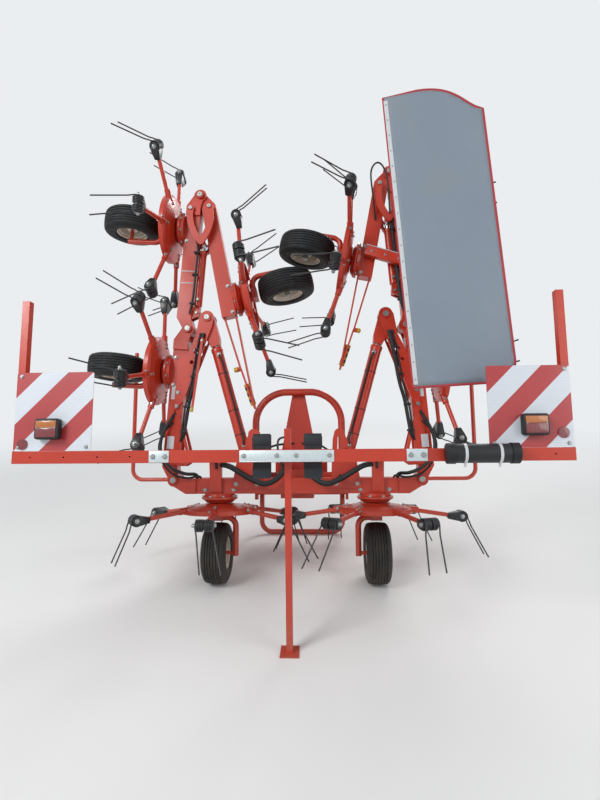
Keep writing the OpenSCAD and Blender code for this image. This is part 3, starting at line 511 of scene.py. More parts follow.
def tyre_mesh():
    """Ribbed implement tyre: seven ribs round the crown, stepped shoulders, bead guard and bead."""
    crown = []
    for groove in (-0.045, -0.028, -0.0095, 0.0095, 0.028, 0.045):
        for from_middle, sink in ((-0.003, 0), (-0.0018, GROOVE_DEPTH), (0.0018, GROOVE_DEPTH), (0.003, 0)):
            x = groove + from_middle
            crown.append((x, TYRE_R - CROWN_BEND * x * x - sink))
    wall = [(0.059, 0.1975), (0.066, 0.1935), (0.0715, 0.188), (0.0722, 0.1845), (0.0755, 0.179),
            (0.0782, 0.172), (0.0788, 0.169), (0.0812, 0.166), (0.0826, 0.158), (0.0828, 0.149),
            (0.0822, 0.14), (0.0802, 0.132), (0.0808, 0.129), (0.0806, 0.124), (0.078, 0.1205),
            (0.0735, 0.1145), (0.068, 0.1095), (0.0615, 0.1065), (0.0605, 0.1018)]
    bm = bmesh.new()
    lathe(bm, [(-x, r) for x, r in wall[::-1]] + crown + wall, steps=72)
    return bm


def rim_mesh():
    """Two-piece pressed rim: rolled lips, drop centre, dished disc and hub, with five wheel bolts."""
    bm = bmesh.new()
    inside = [(RIM_HALF + 0.0062, 0.1085), (RIM_HALF + 0.0065, 0.105), (RIM_HALF + 0.004, 0.101),
              (RIM_HALF, 0.0995), (RIM_HALF - 0.008, 0.0955)]
    outside = [(RIM_HALF + 0.0035, 0.1088), (RIM_HALF, 0.1045), (RIM_HALF - 0.006, 0.1012)]
    disc = [(0.044, 0.087), (0.012, 0.0845), (0.004, 0.0845), (-0.002, 0.074), (0.0, 0.066), (0.008, 0.058),
            (0.014, 0.046), (0.0155, 0.042), (0.034, 0.0385), (0.036, 0.037), (0.036, 0.0126),
            (-0.034, 0.0126), (-0.034, 0.0385), (-0.031, 0.04), (-0.008, 0.0425), (-0.0065, 0.047),
            (-0.0145, 0.06), (-0.0145, 0.067), (-0.009, 0.0745), (-0.01, 0.0845), (-0.016, 0.087),
            (-0.044, 0.087)]
    lathe(bm, [(-x, r) for x, r in inside + outside] + [(-0.03, 0.0995), (0.03, 0.0995)]
          + outside[::-1] + inside + disc, steps=48)
    for i in range(5):
        turn = turned(math.tau * i / 5, "X")
        bolt(bm, turn @ facing(0.0092, 0, 0.054, (1, 0, 0.4)), 0.017, 1)
        bolt(bm, turn @ facing(-0.0115, 0, 0.0535, (-1, 0, 0.4)), 0.017, 1, nut=True)
    return bm


def double_tine(trail):
    """A double tine in its rotor's axes: two coils on a black holder, and two legs that run down and out."""
    bm = bmesh.new()
    mean = COIL_OUT - TINE_WIRE
    outer, inner, steps = COIL_W / 2 - TINE_WIRE, 0.005, 72
    for s in (-1, 1):
        begin = Vector((COIL_C + mean, s * outer, -COIL_DROP))
        verts, edges = ring(bm, 8, TINE_WIRE, at_point(*begin))
        tip = Vector((TIP_R, s * TINE_TIP_GAP / 2 + trail * TINE_TRAIL, -TIP_DROP + 0.001))
        knee = begin.lerp(tip, 0.22) + Vector((-0.008, 0, -0.004))
        spun = bmesh.ops.spin(bm, geom=verts + edges, cent=(COIL_C, 0, -COIL_DROP), axis=(0, 1, 0),
                              angle=-COIL_TURNS * math.tau, steps=steps,
                              dvec=(0, -s * (outer - inner) / steps, 0))["geom_last"]
        draw_out(bm, only(spun, bmesh.types.BMEdge), [
            (COIL_C - mean, s * inner, -COIL_DROP), (COIL_C - mean + 0.004, s * inner, -COIL_DROP - 0.02)])
        end = draw_out(bm, edges, [begin, begin + Vector((0.001, 0, -0.014)), begin.lerp(knee, 0.6), knee,
                                   knee.lerp(tip, 0.3), tip])
        bmesh.ops.holes_fill(bm, edges=end, sides=8)
    spool = [(-0.057, 0), (-0.057, 0.019), (-0.0545, 0.021), (-0.0545, 0.0275)]
    lathe(bm, spool + [(-x, r) for x, r in spool[::-1]],
          at_point(COIL_C, 0, -COIL_DROP) @ turned(math.pi / 2, "Z"), 20)
    slab(bm, at_point(COIL_C - 0.033, 0, -COIL_DROP), (0.05, 0.03, 0.036), 0.006, 2)
    holder = slab(bm, at_point(COIL_C - 0.052, 0, -COIL_DROP), (0.078, 0.112, 0.062), 0.008, 3)
    for vert in holder:
        inward = max(0, (COIL_C - 0.024 - vert.co.x) / 0.067)
        vert.co.y *= 1 - 0.62 * inward
        vert.co.z = -COIL_DROP + (vert.co.z + COIL_DROP) * (1 - 0.4 * inward)
    for s in (-1, 1):
        bolt(bm, facing(COIL_C, s * 0.0572, -COIL_DROP, (0, s, 0)), 0.02, 1, nut=s > 0)
    return bm


def copied(template, turns):
    """A mesh with the template in it once for each of the given axes."""
    flat = bpy.data.meshes.new("template")
    template.to_mesh(flat)
    bm = bmesh.new()
    for axes in turns:
        before = len(bm.verts)
        bm.from_mesh(flat)
        bm.verts.ensure_lookup_table()
        bmesh.ops.transform(bm, matrix=axes, verts=bm.verts[before:])
    bpy.data.meshes.remove(flat)
    return bm


def build_rotors():
    """Wheels, tines and the bolts of every rotor and gear housing."""
    tyre, rim = tyre_mesh(), rim_mesh()
    tines = {trail: double_tine(trail) for trail in (-1, 1)}
    axle = at_point(0, -WHEEL_TRAIL, -AXLE_DROP)
    for section, side in [(section, side) for section in TRAIL for side in SIDES]:
        name = f"{section}_{side}"
        axes = rotor_axes(section, side)
        piece(f"ribbed_tyre_{name}", copied(tyre, [Matrix()]), [TYRE], f"{name}_wheel",
              axes @ axle, 28, [f"tyre_{name}"])
        piece(f"pressed_rim_{name}", copied(rim, [Matrix()]), [CREAM, PLATED], f"{name}_wheel",
              axes @ axle, 30, [f"rim_{name}"])
        arms = [turned(math.radians(PHASE[name]) + math.tau * i / ARM_COUNT, "Z") for i in range(ARM_COUNT)]
        piece(f"coiled_tines_{name}", copied(tines[TRAIL[section]], arms), [SPRING, PLATED], f"{name}_rotor",
              axes, 50, [f"tines_{name}"])
        bm = bmesh.new()
        for arm in arms:
            for r, drop in ((0.193, 0.0195), (0.222, 0.026)):
                bolt(bm, arm @ facing(r, 0, -HOUSING_LOW - drop, (0.2, 0, 1)), 0.017)
            bolt(bm, arm @ facing(DISH_R + 0.012, 0.0225, -HOUSING_LOW - 0.042, (0, 1, 0)), 0.015)
            sleeve = ((0.085, 0.246), (0.078, 0.2465), (0.04, 0.2495), (0.036, 0.25))
            hose(bm, [arm @ Vector((COIL_C - back, 0, -drop)) for back, drop in sleeve], 0.0185, 12,
                 material=1)
        piece(f"rotor_fittings_{name}", bm, [PLATED, SPRING], f"{name}_rotor", axes)
        bm = bmesh.new()
        for i in range(HOUSING_BOLTS):
            turn = turned(math.tau * (i + 0.5) / HOUSING_BOLTS, "Z")
            bolt(bm, facing(*(turn @ Vector((HOUSING_BOLT_R, 0, -HOUSING_BOLT_DROP))), (0, 0, 1)), 0.015)
        bolt(bm, axle @ facing(0.0375, 0, 0, (1, 0, 0)), 0.036, nut=True)
        piece(f"housing_fasteners_{name}", bm, [PLATED], "frame" if section == "centre" else name, axes)
    for template in (tyre, rim, *tines.values()):
        template.free()


build_rotors()


def fasten(name, body, axes, pins, bolts=(), through=()):
    """Pin ends (x, y, z, radius) with grease nipples, and bolts (x, y, z), on both faces of a member."""
    bm = bmesh.new()
    for s in (-1, 1):
        for x, y, z, r in pins:
            lathe(bm, [(-0.001, 0), (-0.001, r), (0.004, r), (0.006, r - 0.002), (0.006, 0.0035),
                       (0.009, 0.0035), (0.0115, 0.0025), (0.013, 0.0025), (0.014, 0.0012), (0.014, 0)],
                  at_point(x, s * y, z) @ turned(s * math.pi / 2, "Z"), 20)
        for x, y, z in (*through, *bolts):
            bolt(bm, facing(x, s * y, z, (0, s, 0)), nut=s > 0 and (x, y, z) in through)
    piece(name, bm, [PLATED], body, axes)


def build_joints():
    """Pin ends, lock bolts and flange bolts on every hinge, knee and cylinder."""
    face, pin_r, knee_out = BEAM_W / 2, 0.02, KNEE_T + 0.004
    for side in SIDES:
        hinge = TIP_HINGE[side]
        wing = wing_axes(side)
        flange = {section: [(rotor_along(section, side) + dx, face, -0.075) for dx in (-0.1, 0.1)]
                  for section in ("inner", "middle", "tip")}
        fasten(f"centre_pins_{side}", "frame", PARKED @ on_side(side),
               [(HINGE_X, PIN_HEAD_Y, HINGE_Z, pin_r), (LIFT_BASE[0], LIFT_BASE_Y, LIFT_BASE[1], pin_r)],
               [(x, face, HINGE_Z - 0.07) for x in (0.44, 0.64)],
               [(LIFT_BASE[0] + dx, LIFT_PLATE_Y, LIFT_BASE[1] - 0.19) for dx in (-0.085, 0.06)])
        fasten(f"inner_pins_{side}", f"inner_{side}", wing,
               [(FLOAT_S, PIN_HEAD_Y, 0, pin_r), (LIFT_EYE[0], LIFT_EYE_Y, LIFT_EYE[1], pin_r)],
               [(FLOAT_S - 0.087, face, 0.0), *flange["inner"],
                *[(x, face + 0.0115, -0.03) for x in (0.52, 0.62)]])
        fasten(f"middle_pins_{side}", f"middle_{side}", wing,
               [(hinge, PIN_HEAD_Y, 0, pin_r), (hinge + KNEE_B[0], KNEE_B_Y + knee_out, KNEE_B[1], 0.015),
                (hinge + TIP_BASE[0], TIP_BASE_Y, TIP_BASE[1], 0.011)], flange["middle"])
        knee = turned(TIP_FOLD, "Y") @ Vector((KNEE_C[0], 0, KNEE_C[1]))
        fasten(f"tip_pins_{side}", f"tip_{side}", tip_axes(side),
               [(knee.x, KNEE_C_Y + knee_out, knee.z, 0.015)], flange["tip"])
        fasten(f"knee_pin_ends_{side}", f"knee_inner_{side}", wing,
               [(hinge + KNEE_0[0], KNEE_C_Y + 0.0003, KNEE_0[1], 0.013)])


build_joints()


def build_cylinders():
    """Gland nuts, ports, hose bands and the thin pipe along each cylinder."""
    for side in SIDES:
        bm = bmesh.new()
        end, skin = LIFT_BARREL, LIFT_BARREL_R
        lathe(bm, [(end - 0.03, skin), (end - 0.028, 0.043), (end - 0.004, 0.043), (end - 0.001, 0.0405),
                   (end - 0.001, 0.0215), (end - 0.03, 0.0215)], material=1)
        for x in (0.16, 0.34, 0.62):
            lathe(bm, [(x, skin), (x, 0.0412), (x + 0.006, 0.0412), (x + 0.006, skin)], material=2)
        for x in (0.075, end - 0.06):
            slab(bm, at_point(x, -0.0405, 0.012), (0.034, 0.022, 0.03), 0.003, material=1)
            bolt(bm, facing(x, -0.051, 0.012, (0, -1, 0)), 0.02)
        hose(bm, [(0.078, -0.063, 0.012), (0.11, -0.066, 0.022), (0.2, -0.049, 0.024), (0.5, -0.046, 0.022),
                  (end - 0.1, -0.05, 0.022), (end - 0.062, -0.062, 0.012)], 0.0065, step=0.03, material=2)
        piece(f"lift_cylinder_fittings_{side}", bm, [PLATED, RED, HOSE], f"lift_barrel_{side}",
              lift_axes(side), 50)

        bm = bmesh.new()
        lathe(bm, [(0.452, 0.0278), (0.454, 0.031), (0.478, 0.031), (0.4795, 0.029), (0.4795, 0.0162),
                   (0.452, 0.0162)], steps=28, material=1)
        slab(bm, at_point(0.1, -0.029, 0.0), (0.026, 0.016, 0.022), material=1)
        bolt(bm, facing(0.1, -0.037, 0, (0, -1, 0)), 0.016)
        piece(f"tip_cylinder_fittings_{side}", bm, [PLATED, RED], f"tip_barrel_{side}",
              tip_cylinder_axes(side))


build_cylinders()


def striped_panel(bm, x0):
    """A blank panel with rounded corners; its stripes rise to the right and meet a third along each side."""
    third = PANEL_SIDE / 3
    middle = Vector((x0 + PANEL_SIDE / 2, PANEL_Y, PANEL_Z + PANEL_SIDE / 2))
    grid = bmesh.ops.create_grid(bm, x_segments=1, y_segments=1, size=PANEL_SIDE / 2 - 0.0005,
                                 matrix=at_point(*middle) @ turned(math.pi / 2, "X"))["verts"]
    bmesh.ops.bevel(bm, geom=grid, offset=0.012, segments=4, profile=0.5, affect="VERTICES", material=-1)

    def its_faces():
        return [f for f in bm.faces if f.calc_center_median().x * x0 > 0]

    for k in range(-2, 3):
        bmesh.ops.bisect_plane(bm, geom=list({g for f in its_faces() for g in (*f.verts, *f.edges, f)}),
                               plane_co=middle + Vector((k * third, 0, 0)), plane_no=(1, 0, -1))
    faces = its_faces()
    for face in faces:
        spot = face.calc_center_median() - middle
        face.material_index = 0 if math.floor((spot.x - spot.z) / third) % 2 else 1
    made = bmesh.ops.extrude_face_region(bm, geom=faces)["geom"]
    bmesh.ops.translate(bm, vec=(0, -PANEL_T, 0), verts=only(made, bmesh.types.BMVert))


def build_panels():
    """Striped panels with their lamps, reflectors, bolts and holders."""
    bm = bmesh.new()
    for s in (-1, 1):
        striped_panel(bm, s * PANEL_X - PANEL_SIDE / 2)
    piece("striped_panels", bm, [RED_FILM, WHITE_FILM], "frame", PARKED, 30, ["warning_panels"])
    front = PANEL_Y - PANEL_T
    for side in SIDES:
        s = SIGN[side]
        # rounded black shell with a gasket lip, an amber lens over a red one, and the lead behind it
        bm = bmesh.new()
        x, lip = s * LAMP_X, front - LAMP_T
        slab(bm, at_point(x, front - LAMP_T / 2 - 0.0003, LAMP_Z), (LAMP_W, LAMP_T - 0.002, LAMP_H),
             0.014, 4)
        slab(bm, at_point(x, lip + 0.004, LAMP_Z), (LAMP_W - 0.014, 0.008, LAMP_H - 0.014), 0.0035)
        for up, height, colour in ((0.024, 0.036, 1), (-0.0195, 0.05, 2)):
            slab(bm, at_point(x, lip + 0.0015, LAMP_Z + up), (LAMP_W - 0.022, 0.006, height),
                 0.0025, 2, colour)
        for dx in (-0.048, 0.048):
            bolt(bm, facing(x + dx, lip - 0.0014, LAMP_Z + 0.006, (0, -1, 0)), 0.005, 3)
        hose(bm, [(x, PANEL_Y - 0.001, LAMP_Z), (x, PANEL_Y + 0.01, LAMP_Z - 0.01),
                  (x - s * 0.02, PANEL_Y + 0.012, PANEL_Z + 0.03),
                  (x - s * 0.03, PANEL_Y + 0.014, PANEL_Z + 0.002)], 0.0035, step=0.02)
        piece(f"tail_lamp_{side}", bm, [ABS, AMBER, LAMP_RED, PLATED], "frame", PARKED)

        bm = bmesh.new()
        lathe(bm, [(0, 0), (0, 0.0285), (0.005, 0.0285), (0.0065, 0.027), (0.0072, 0.018), (0.0075, 0)],
              at_point(s * REFLECTOR_X, front, PANEL_Z + REFLECTOR_UP[side]) @ turned(-math.pi / 2, "Z"),
              36, 1)
        for dx, dz in ((1, 1), (1, -1), (-1, -1)):
            x = s * (PANEL_X + dx * PANEL_BOLT_X)
            z = PANEL_Z + PANEL_SIDE / 2 + dz * PANEL_BOLT_Z
            bolt(bm, facing(x, front, z, (0, -1, 0)), 0.014)
            bolt(bm, facing(x, PANEL_Y, z, (0, 1, 0)), 0.014, nut=True)
        # the strip that the panel's outer bolts hold, and the holder of its inner lower corner
        for way, up, height in ((1, 0.2, 0.42), (-1, 0.025, 0.07)):
            slab(bm, at_point(s * (PANEL_X + way * PANEL_BOLT_X), PANEL_Y + 0.0035, PANEL_Z + up),
                 (0.03, 0.004, height), 0.001)
        piece(f"panel_fasteners_{side}", bm, [PLATED, LAMP_RED], "frame", PARKED)


def build_bar():
    """Galvanised plates and ribbed rubber stops on the rear bar."""
    bm = bmesh.new()
    face = BAR_Y - BAR_FACE
    slab(bm, at_point(0, face - 0.003, BAR_Z + 0.001), (0.49, 0.006, 0.056), 0.0015)
    slab(bm, at_point(0, face - 0.002, BAR_Z - 0.029), (0.49, 0.012, 0.005), 0.0015)
    for x in (-0.222, -0.05, 0.05, 0.222):
        bolt(bm, facing(x, face - 0.006, BAR_Z + 0.001, (0, -1, 0)), 0.016, 1)
    for x in (-BAR_PLATE_X, BAR_PLATE_X):
        slab(bm, at_point(x, face - 0.0025, BAR_Z), (0.106, 0.005, 0.062), 0.0012)
        for dx in (-0.032, 0.032):
            bolt(bm, facing(x + dx, face - 0.005, BAR_Z, (0, -1, 0)), 0.018, 1)
    piece("galvanised_plates", bm, [GALVANISED, PLATED], "frame", PARKED)

    bm = bmesh.new()
    back = BAR_Y + BAR_FACE
    outline = []
    for i in range(STOP_RIBS):
        z = BAR_Z - STOP_H / 2 + i * STOP_H / STOP_RIBS
        outline += [(z + 0.003, 0.044), (z + 0.006, 0.05), (z + 0.0205, 0.05), (z + 0.0235, 0.044)]
    outline += [(outline[-1][0] + 0.003, 0.0004), (outline[0][0] - 0.003, 0.0004)]
    for x in (-STOP_X, STOP_X):
        verts = [bm.verts.new((x - STOP_W / 2, back + y, z)) for z, y in outline]
        end = bmesh.ops.contextual_create(bm, geom=verts)["faces"]
        moved = bmesh.ops.extrude_face_region(bm, geom=end)["geom"]
        bmesh.ops.translate(bm, vec=(STOP_W, 0, 0), verts=only(moved, bmesh.types.BMVert))
        for dz in (-0.08, 0.08):
            slab(bm, at_point(x, back + 0.002, BAR_Z + dz), (0.098, 0.007, 0.05), 0.0025)
    piece("rubber_stops", bm, [BUFFER], "frame", PARKED)


def build_document_tube():
    """Black tube with ribbed screw caps at both ends, held by two pale straps."""
    bm = bmesh.new()
    cap = [(0.0, 0.0), (0.0, DOC_R - 0.008), (0.0015, DOC_R - 0.003)]
    for i in range(5):
        x = i * 0.008
        cap += [(x + 0.004, DOC_R), (x + 0.008, DOC_R),
                (x + 0.009, DOC_R - 0.0015), (x + 0.011, DOC_R - 0.0015)]
    cap += [(0.044, DOC_R), (0.044, 0.047), (0.05, DOC_BODY_R)]
    lathe(bm, cap + [(DOC_L - x, r) for x, r in cap[::-1]], at_point(DOC_X, DOC_Y, DOC_Z), 48)
    for x in (0.085, 0.255):
        lathe(bm, [(x, 0.0476), (x, 0.0496), (x + 0.014, 0.0496), (x + 0.014, 0.0476)],
              at_point(DOC_X, DOC_Y, DOC_Z), 48, 1)
        for dy, dz, size in ((0.026, -0.047, (0.014, 0.052, 0.002)), (0.026, 0.047, (0.014, 0.052, 0.002)),
                             (-0.004, -0.058, (0.012, 0.004, 0.022))):
            slab(bm, at_point(DOC_X + x + 0.007, DOC_Y + dy, DOC_Z + dz), size, 0.0006, 1, 1)
    piece("document_tube_body", bm, [ABS, STICKER], "frame", PARKED, 30, ["document_tube"])


build_panels()
build_bar()
build_document_tube()


def shield_outline():
    """The canvas edge as (along, over) points of the wing: swept upper corner and round lower one."""
    top = POLE_H + 0.012
    swept = ((2.276, -0.06), (2.294, -0.3), (2.14, -0.33), (2.124, -0.426)), 17
    low = ((0.64, -0.418), (0.556, -0.418), (0.522, -0.36), (SHIELD_START, -0.27)), 13
    curves = [interpolate_bezier(*[Vector((*p, 0)) for p in ends], count) for ends, count in (swept, low)]
    return [(0.526, top), (2.252, top - 0.002)] + [(p.x, p.y) for curve in curves for p in curve]


def build_shield():
    """The canvas, its hem, the strip that clamps it to the pole, and the arm that carries the pole."""
    outline = shield_outline()
    wing = wing_axes("right")
    bm = bmesh.new()
    bmesh.ops.contextual_create(bm, geom=[bm.verts.new((s, SHIELD_Y, h)) for s, h in outline])
    flat_area = sum(f.calc_area() for f in bm.faces)
    # cut into squares, so that the canvas can pucker
    square = 0.04
    cuts = ([((SHIELD_START + k * square, 0, 0), (1, 0, 0)) for k in range(1, 44)]
            + [((0, 0, SHIELD_LOW + k * square), (0, 0, 1)) for k in range(1, 14)])
    for place, way in cuts:
        bmesh.ops.bisect_plane(bm, geom=[*bm.verts, *bm.edges, *bm.faces], plane_co=place, plane_no=way)
    for vert in bm.verts:
        s, h = vert.co.x, vert.co.z
        inside = min(1, min(POLE_H + 0.012 - h, s - SHIELD_START, SHIELD_END - s, h - SHIELD_LOW) / 0.12)
        vert.co.y += 0.0022 * inside * (math.sin(s * 7 + h * 3) + 0.6 * math.sin(s * 3.1 - h * 9))
    sheet = piece("shield_canvas", bm, [PVC], "middle_right", wing, 60, ["shield_cloth"])
    thick = sheet.modifiers.new("thickness", "SOLIDIFY")
    thick.thickness, thick.offset = 0.0014, 0

    bm = bmesh.new()
    path = [Vector((s, SHIELD_Y, h)) for s, h in [*outline, outline[0]]]
    verts, edges = ring(bm, 8, 0.0075, facing(*path[0], path[1] - path[0]))
    for vert in verts:
        vert.co.y = SHIELD_Y + (vert.co.y - SHIELD_Y) * 0.24
    draw_out(bm, edges, path)
    hem = piece("shield_hem", bm, [RED_WEBBING], "middle_right", wing, 50)

    bm = bmesh.new()
    rear, along = SHIELD_Y - 0.0022, POLE_H - 0.002
    slab(bm, at_point(1.385, rear, along), (1.69, 0.0026, 0.024), 0.0008, 1)
    for i in range(18):
        lathe(bm, [(0, 0), (0, 0.0055), (0.0016, 0.0048), (0.0026, 0.0025), (0.0028, 0)],
              at_point(0.57 + i * 0.096, rear - 0.0012, along) @ turned(-math.pi / 2, "Z"), 10, 1)
    strip = piece("shield_strip", bm, [STICKER, PLATED], "middle_right", wing)

    # box arm with a galvanised cover, on the side of the beam under the folded tip
    bm = bmesh.new()
    tilt = at_point(1.6, -0.089, 0.1) @ turned(math.radians(22), "Y")
    slab(bm, tilt, (0.07, 0.05, 0.29), 0.004, 2, 2)
    slab(bm, tilt @ at_point(0.0375, 0, 0), (0.005, 0.056, 0.3), 0.0012, 1)
    slab(bm, at_point(1.56, -0.0555, -0.035), (0.13, 0.023, 0.075), 0.003, 2, 2)
    for z in (-0.1, 0.0, 0.1):
        bolt(bm, tilt @ facing(0.04, 0, z, (1, 0, 0)), 0.015, 1)
        bolt(bm, tilt @ facing(0, -0.025, z, (0, -1, 0)), 0.013, 1)
    piece("shield_carrier", bm, [GALVANISED, PLATED, RED], "middle_right", wing)


build_shield()


def bend(name, bm, axes):
    """Makes a hose that crosses a joint; it rides no body and keeps the place and shape it is drawn in."""
    loop = piece(name, bm, [HOSE], None, axes, 50)
    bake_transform(loop)


def build_hoses():
    """Hydraulic hoses held by the machine at both ends, with their clips."""
    for side in SIDES:
        parked, wing = PARKED @ on_side(side), wing_axes(side)
        # thick loop from the mast, under the rear bar, to the lift cylinder's side of the beam
        bm = bmesh.new()
        hose(bm, [(0.05, -0.06, 0.86), (0.1, -0.1, 0.73), (0.2, -0.13, 0.665), (0.31, -0.13, 0.7),
                  (0.45, -0.12, 0.78), (0.53, -0.085, 0.795), (0.58, -0.06, 0.79)], 0.02, 12, 0.012, 0.1)
        hose(bm, [(0.03, 0.2, 0.95), (0.16, 0.05, 0.93), (0.24, -0.06, 0.88), (0.3, -0.075, 0.86),
                  (0.355, -0.072, 0.9)], 0.008, step=0.02)
        hose(bm, [(0.06, 0.16, 1.0), (0.13, 0.02, 0.97), (0.12, -0.1, 0.86), (0.09, -0.12, 0.78),
                  (0.07, -0.07, 0.71)], 0.008, step=0.02)
        for x, z in ((0.3, 0.7), (0.55, 0.79)):
            slab(bm, at_point(x, -0.1, z), (0.016, 0.052, 0.052), 0.008, 2, 1)
        piece(f"frame_hoses_{side}", bm, [HOSE, ABS], "frame", parked, 50)

        bm = bmesh.new()
        hose(bm, [(1.06, HOSE_Y, 0.12), (0.96, -0.075, 0.11), (0.85, -0.068, 0.1), (0.68, -0.07, 0.085),
                  (0.56, -0.064, 0.062), (0.42, HOSE_Y, 0.05), (0.32, -0.064, 0.04), (0.27, -0.03, 0.01)],
             0.013, 10, 0.012)
        hose(bm, [(1.06, HOSE_Y, 0.096), (0.9, HOSE_Y, 0.078), (0.7, HOSE_Y, 0.062), (0.5, HOSE_Y, 0.034),
                  (0.3, HOSE_Y, 0.024), (0.25, -0.03, 0.0)], 0.0065, step=0.015)
        for x, z in ((0.94, 0.1), (0.74, 0.082), (0.52, 0.05), (0.34, 0.046)):
            slab(bm, at_point(x, -0.064, z - 0.004), (0.014, 0.034, 0.05), 0.005, 2, 1)
        piece(f"inner_hoses_{side}", bm, [HOSE, ABS], f"inner_{side}", wing, 50)

        # the right wing's is thick and ribbed; pale straps go round the beam on both
        bm = bmesh.new()
        hinge = TIP_HINGE[side]
        radius, step, rib = (0.014, 0.01, 0.12) if side == "right" else (0.008, 0.03, 0.0)
        hose(bm, [(1.2, HOSE_Y, 0.0), (1.32, -0.068, 0.018), (1.6, HOSE_Y, 0.022),
                  (hinge - 0.42, -0.06, 0.022), (hinge - 0.33, HOSE_Y, 0.0)], radius, 10, step, rib)
        for x in (1.28, 1.5, hinge - 0.45):
            slab(bm, at_point(x, -0.06, 0.016), (0.014, 0.034, 0.044), 0.005, 2, 1)
        for x in (1.44, 1.53):
            slab(bm, at_point(x, 0, (BEAM_TOP - BEAM_LOW) / 2),
                 (0.007, BEAM_W + 0.004, BEAM_TOP + BEAM_LOW + 0.004), 0.0012, 1, 2)
        piece(f"middle_hoses_{side}", bm, [HOSE, ABS, STICKER], f"middle_{side}", wing, 50)

    for side in SIDES:
        # from the centre beam to the wing, in a wide arc round the outside of its hinge
        bm = bmesh.new()
        hose(bm, [(0.7, -0.02, 0.66), (0.705, -0.045, 0.725), (0.77, -0.105, 0.735), (0.86, -0.125, 0.775),
                  (0.93, -0.122, 0.86), (0.946, -0.108, 0.95), (0.925, -0.088, 1.04), (0.885, -0.07, 1.12),
                  (0.868, -0.04, 1.16)], 0.012, 10, 0.012)
        hose(bm, [(0.67, -0.02, 0.66), (0.68, -0.05, 0.715), (0.76, -0.085, 0.705), (0.86, -0.1, 0.735),
                  (0.935, -0.098, 0.82), (0.962, -0.09, 0.93), (0.93, -0.075, 1.03), (0.885, HOSE_Y, 1.08),
                  (0.872, -0.04, 1.1)], 0.0075, step=0.012)
        bend(f"root_hoses_{side}", bm, PARKED @ on_side(side))

    # thin hose that loops over the right tip hinge, outside the knee links
    bm = bmesh.new()
    hose(bm, [(1.8, -0.056, 0.03), (1.87, -0.075, 0.034), (1.98, -0.118, 0.034), (2.15, -0.127, 0.03),
              (2.27, -0.127, 0.055), (2.3, -0.127, 0.095), (2.26, -0.127, 0.135), (2.186, -0.125, 0.148),
              (2.059, -0.115, 0.145), (1.96, -0.07, 0.138), (1.9, -0.052, 0.136)], 0.0065, step=0.015)
    bend("hinge_hose_right", bm, wing_axes("right"))


build_hoses()


def build_small_parts():
    """Plugs on the mast, the fold's indicator bar, the guards' caps and tape, and the blank stickers."""
    bm = bmesh.new()
    slab(bm, at_point(-0.03, 0.36, 1.367), (0.034, 0.05, 0.03), 0.005)
    slab(bm, at_point(0.025, 0.36, 1.36), (0.03, 0.045, 0.02), 0.004, material=1)
    piece("mast_top_plugs", bm, [YELLOW, LAMP_RED], "frame", PARKED)

    # flat bar beside the left lift plates, with a yellow tip at its free end
    bm = bmesh.new()
    bar = Vector((-0.52, 0, -0.03))
    slab(bm, facing(0.76, -0.094, 0.107, bar), (0.008, 0.018, 0.52), 0.002, 1)
    slab(bm, facing(0.5, -0.094, 0.092, bar), (0.011, 0.021, 0.035), 0.003, 2, 1)
    slab(bm, at_point(1.0, -0.073, 0.121), (0.03, 0.036, 0.03), 0.004)
    bolt(bm, facing(1.0, -0.098, 0.121, (0, -1, 0)), 0.013, 2)
    piece("indicator_bar", bm, [RED, YELLOW, PLATED], "inner_left", wing_axes("left"))

    for side in SIDES:
        # the moulded cap over the guard's stud, and the warning tape round the end of its bar
        bm = bmesh.new()
        x = rotor_along("tip", side) + 0.125
        lathe(bm, [(0.024, 0), (0.024, 0.0185), (0.045, 0.0185), (0.05, 0.015), (0.052, 0)],
              at_point(x + 0.394, 0, -0.052) @ turned(-math.pi / 2, "Y"), 24)
        tape = Vector((0.302, 0, -0.045))
        for i in range(7):
            spot = Vector((x + 0.398, 0, -0.053)) + tape * (0.42 + i * 0.075)
            slab(bm, facing(*spot, tape), (0.0134, 0.0396, 0.0228), 0.0004, 1, i % 2)
        piece(f"guard_markers_{side}", bm, [YELLOW, ABS], f"tip_{side}", tip_axes(side))

        bm = bmesh.new()
        for place, proud, size in (((0.26, -0.05), 0.012, (0.09, 0.0008, 0.05)),
                                   ((0.62, -0.06), 0.0002, (0.1, 0.0008, 0.04))):
            slab(bm, at_point(place[0], -BEAM_W / 2 - proud, place[1]), size, 0.0003, 1)
        piece(f"blank_stickers_{side}", bm, [STICKER], f"inner_{side}", wing_axes(side))


build_small_parts()

# Stage: pale floor that runs out into a pale backdrop
BACKDROP = (0.83, 0.85, 0.87, 1)
SKYLIGHT, SKYLIGHT_STRENGTH = (0.9, 0.95, 1, 1), 0.42
FLOOR_R, FADE_START, FADE_END = 60, 2.4, 7.5
# Disc lamps: name, place, what they look at, width, power
LAMPS = (("key", (-4.2, -4.6, 5.6), (0, 0, 1.3), 3.2, 300),
         ("fill", (4.8, -3.6, 3.0), (0, 0, 1.4), 4.0, 85),
         ("rim", (2.5, 5.0, 5.0), (0, 0, 1.6), 3.0, 190))


def seen_directly(tree):
    """1 where a camera, mirror or glass ray looks, 0 for the rays that light the object."""
    rays = add(tree, "LightPath").outputs
    glossy = add(tree, "Math", {"operation": "MAXIMUM"},
                 {0: rays["Is Camera Ray"], 1: rays["Is Glossy Ray"]})
    return add(tree, "Math", {"operation": "MAXIMUM"},
               {0: glossy.outputs[0], 1: rays["Is Transmission Ray"]}).outputs[0]


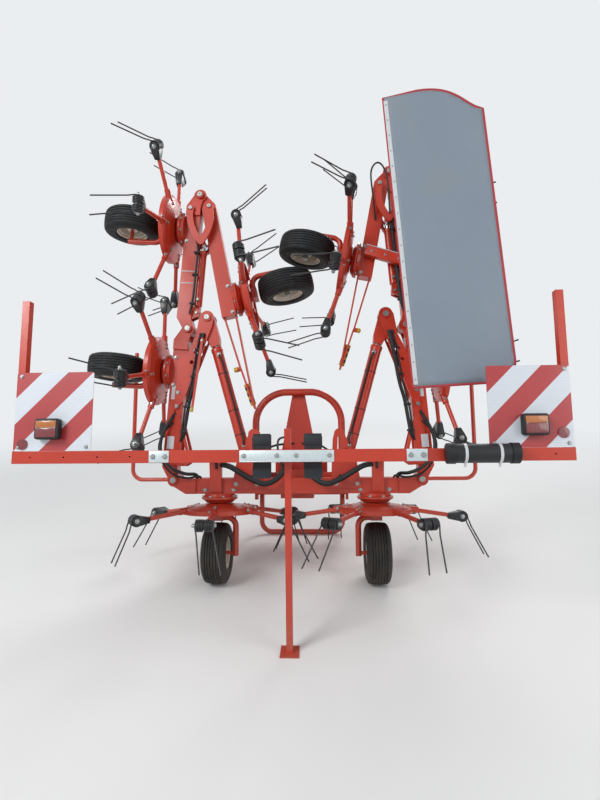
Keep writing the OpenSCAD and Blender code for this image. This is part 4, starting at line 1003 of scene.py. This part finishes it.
def build_stage():
    """World, floor and lamps."""
    world = bpy.data.worlds.new("studio")
    bpy.context.scene.world = world
    world.use_nodes = True
    tree = world.node_tree
    tree.nodes.clear()
    lit = add(tree, "Background", inputs={"Color": SKYLIGHT, "Strength": SKYLIGHT_STRENGTH})
    seen = add(tree, "Background", inputs={"Color": BACKDROP, "Strength": 1.0})
    mixed = add(tree, "MixShader", inputs={0: seen_directly(tree), 1: lit.outputs[0], 2: seen.outputs[0]})
    add(tree, "OutputWorld", inputs={"Surface": mixed.outputs[0]})

    bm = bmesh.new()
    bmesh.ops.create_circle(bm, cap_ends=True, radius=FLOOR_R, segments=96)
    mesh = bpy.data.meshes.new("floor")
    bm.to_mesh(mesh)
    bm.free()
    floor = bpy.data.objects.new("floor", mesh)
    bpy.context.scene.collection.objects.link(floor)
    # Smooth painted floor: matt and nearly even, a share of it turning into backdrop with distance
    floor_mat, tree, shader, coords = new_material("pale_studio_floor", {"Roughness": 0.85})
    link(tree, mottled(tree, coords, 0.9, linear("#EAEAE8"), linear("#F0F0EE")), shader, "Base Color")
    radius = add(tree, "VectorMath", {"operation": "LENGTH"}, {0: coords})
    fade = add(tree, "MapRange", {"interpolation_type": "SMOOTHSTEP"}, {
        "Value": radius.outputs["Value"], "From Min": FADE_START, "From Max": FADE_END,
        "To Min": 0.0, "To Max": 1.0})
    share = add(tree, "Math", {"operation": "MULTIPLY"}, {0: fade.outputs[0], 1: seen_directly(tree)})
    glow = add(tree, "Emission", inputs={"Color": BACKDROP})
    mixed = add(tree, "MixShader", inputs={0: share.outputs[0], 1: shader.outputs[0], 2: glow.outputs[0]})
    link(tree, mixed.outputs[0], node_of(tree, "OUTPUT_MATERIAL"), "Surface")
    mesh.materials.append(floor_mat)

    for name, spot, target, size, power in LAMPS:
        light = bpy.data.lights.new(name, "AREA")
        light.shape, light.size, light.energy = "DISK", size, power
        obj = bpy.data.objects.new(name, light)
        obj.location = spot
        obj.rotation_euler = (Vector(target) - Vector(spot)).to_track_quat("-Z", "Y").to_euler()
        bpy.context.scene.collection.objects.link(obj)


build_stage()

# Camera: standing eye height behind the machine, a little to its right, turned down and slightly rolled
CAMERA_AT = (0.194, -3.515, 1.639)
TURN, DOWN, ROLL = math.radians(2.7), math.radians(90 - 6.767), math.radians(-1.021)
camera_data = bpy.data.cameras.new("camera")
camera_data.sensor_fit = "VERTICAL"
camera_data.sensor_height = 36
camera_data.lens = 22.54
camera = bpy.data.objects.new("camera", camera_data)
camera.location = CAMERA_AT
camera.rotation_euler = (turned(TURN, "Z") @ turned(DOWN, "X") @ turned(ROLL, "Z")).to_euler()
bpy.context.scene.collection.objects.link(camera)
bpy.context.scene.camera = camera
bpy.context.scene.view_settings.view_transform = "Standard"
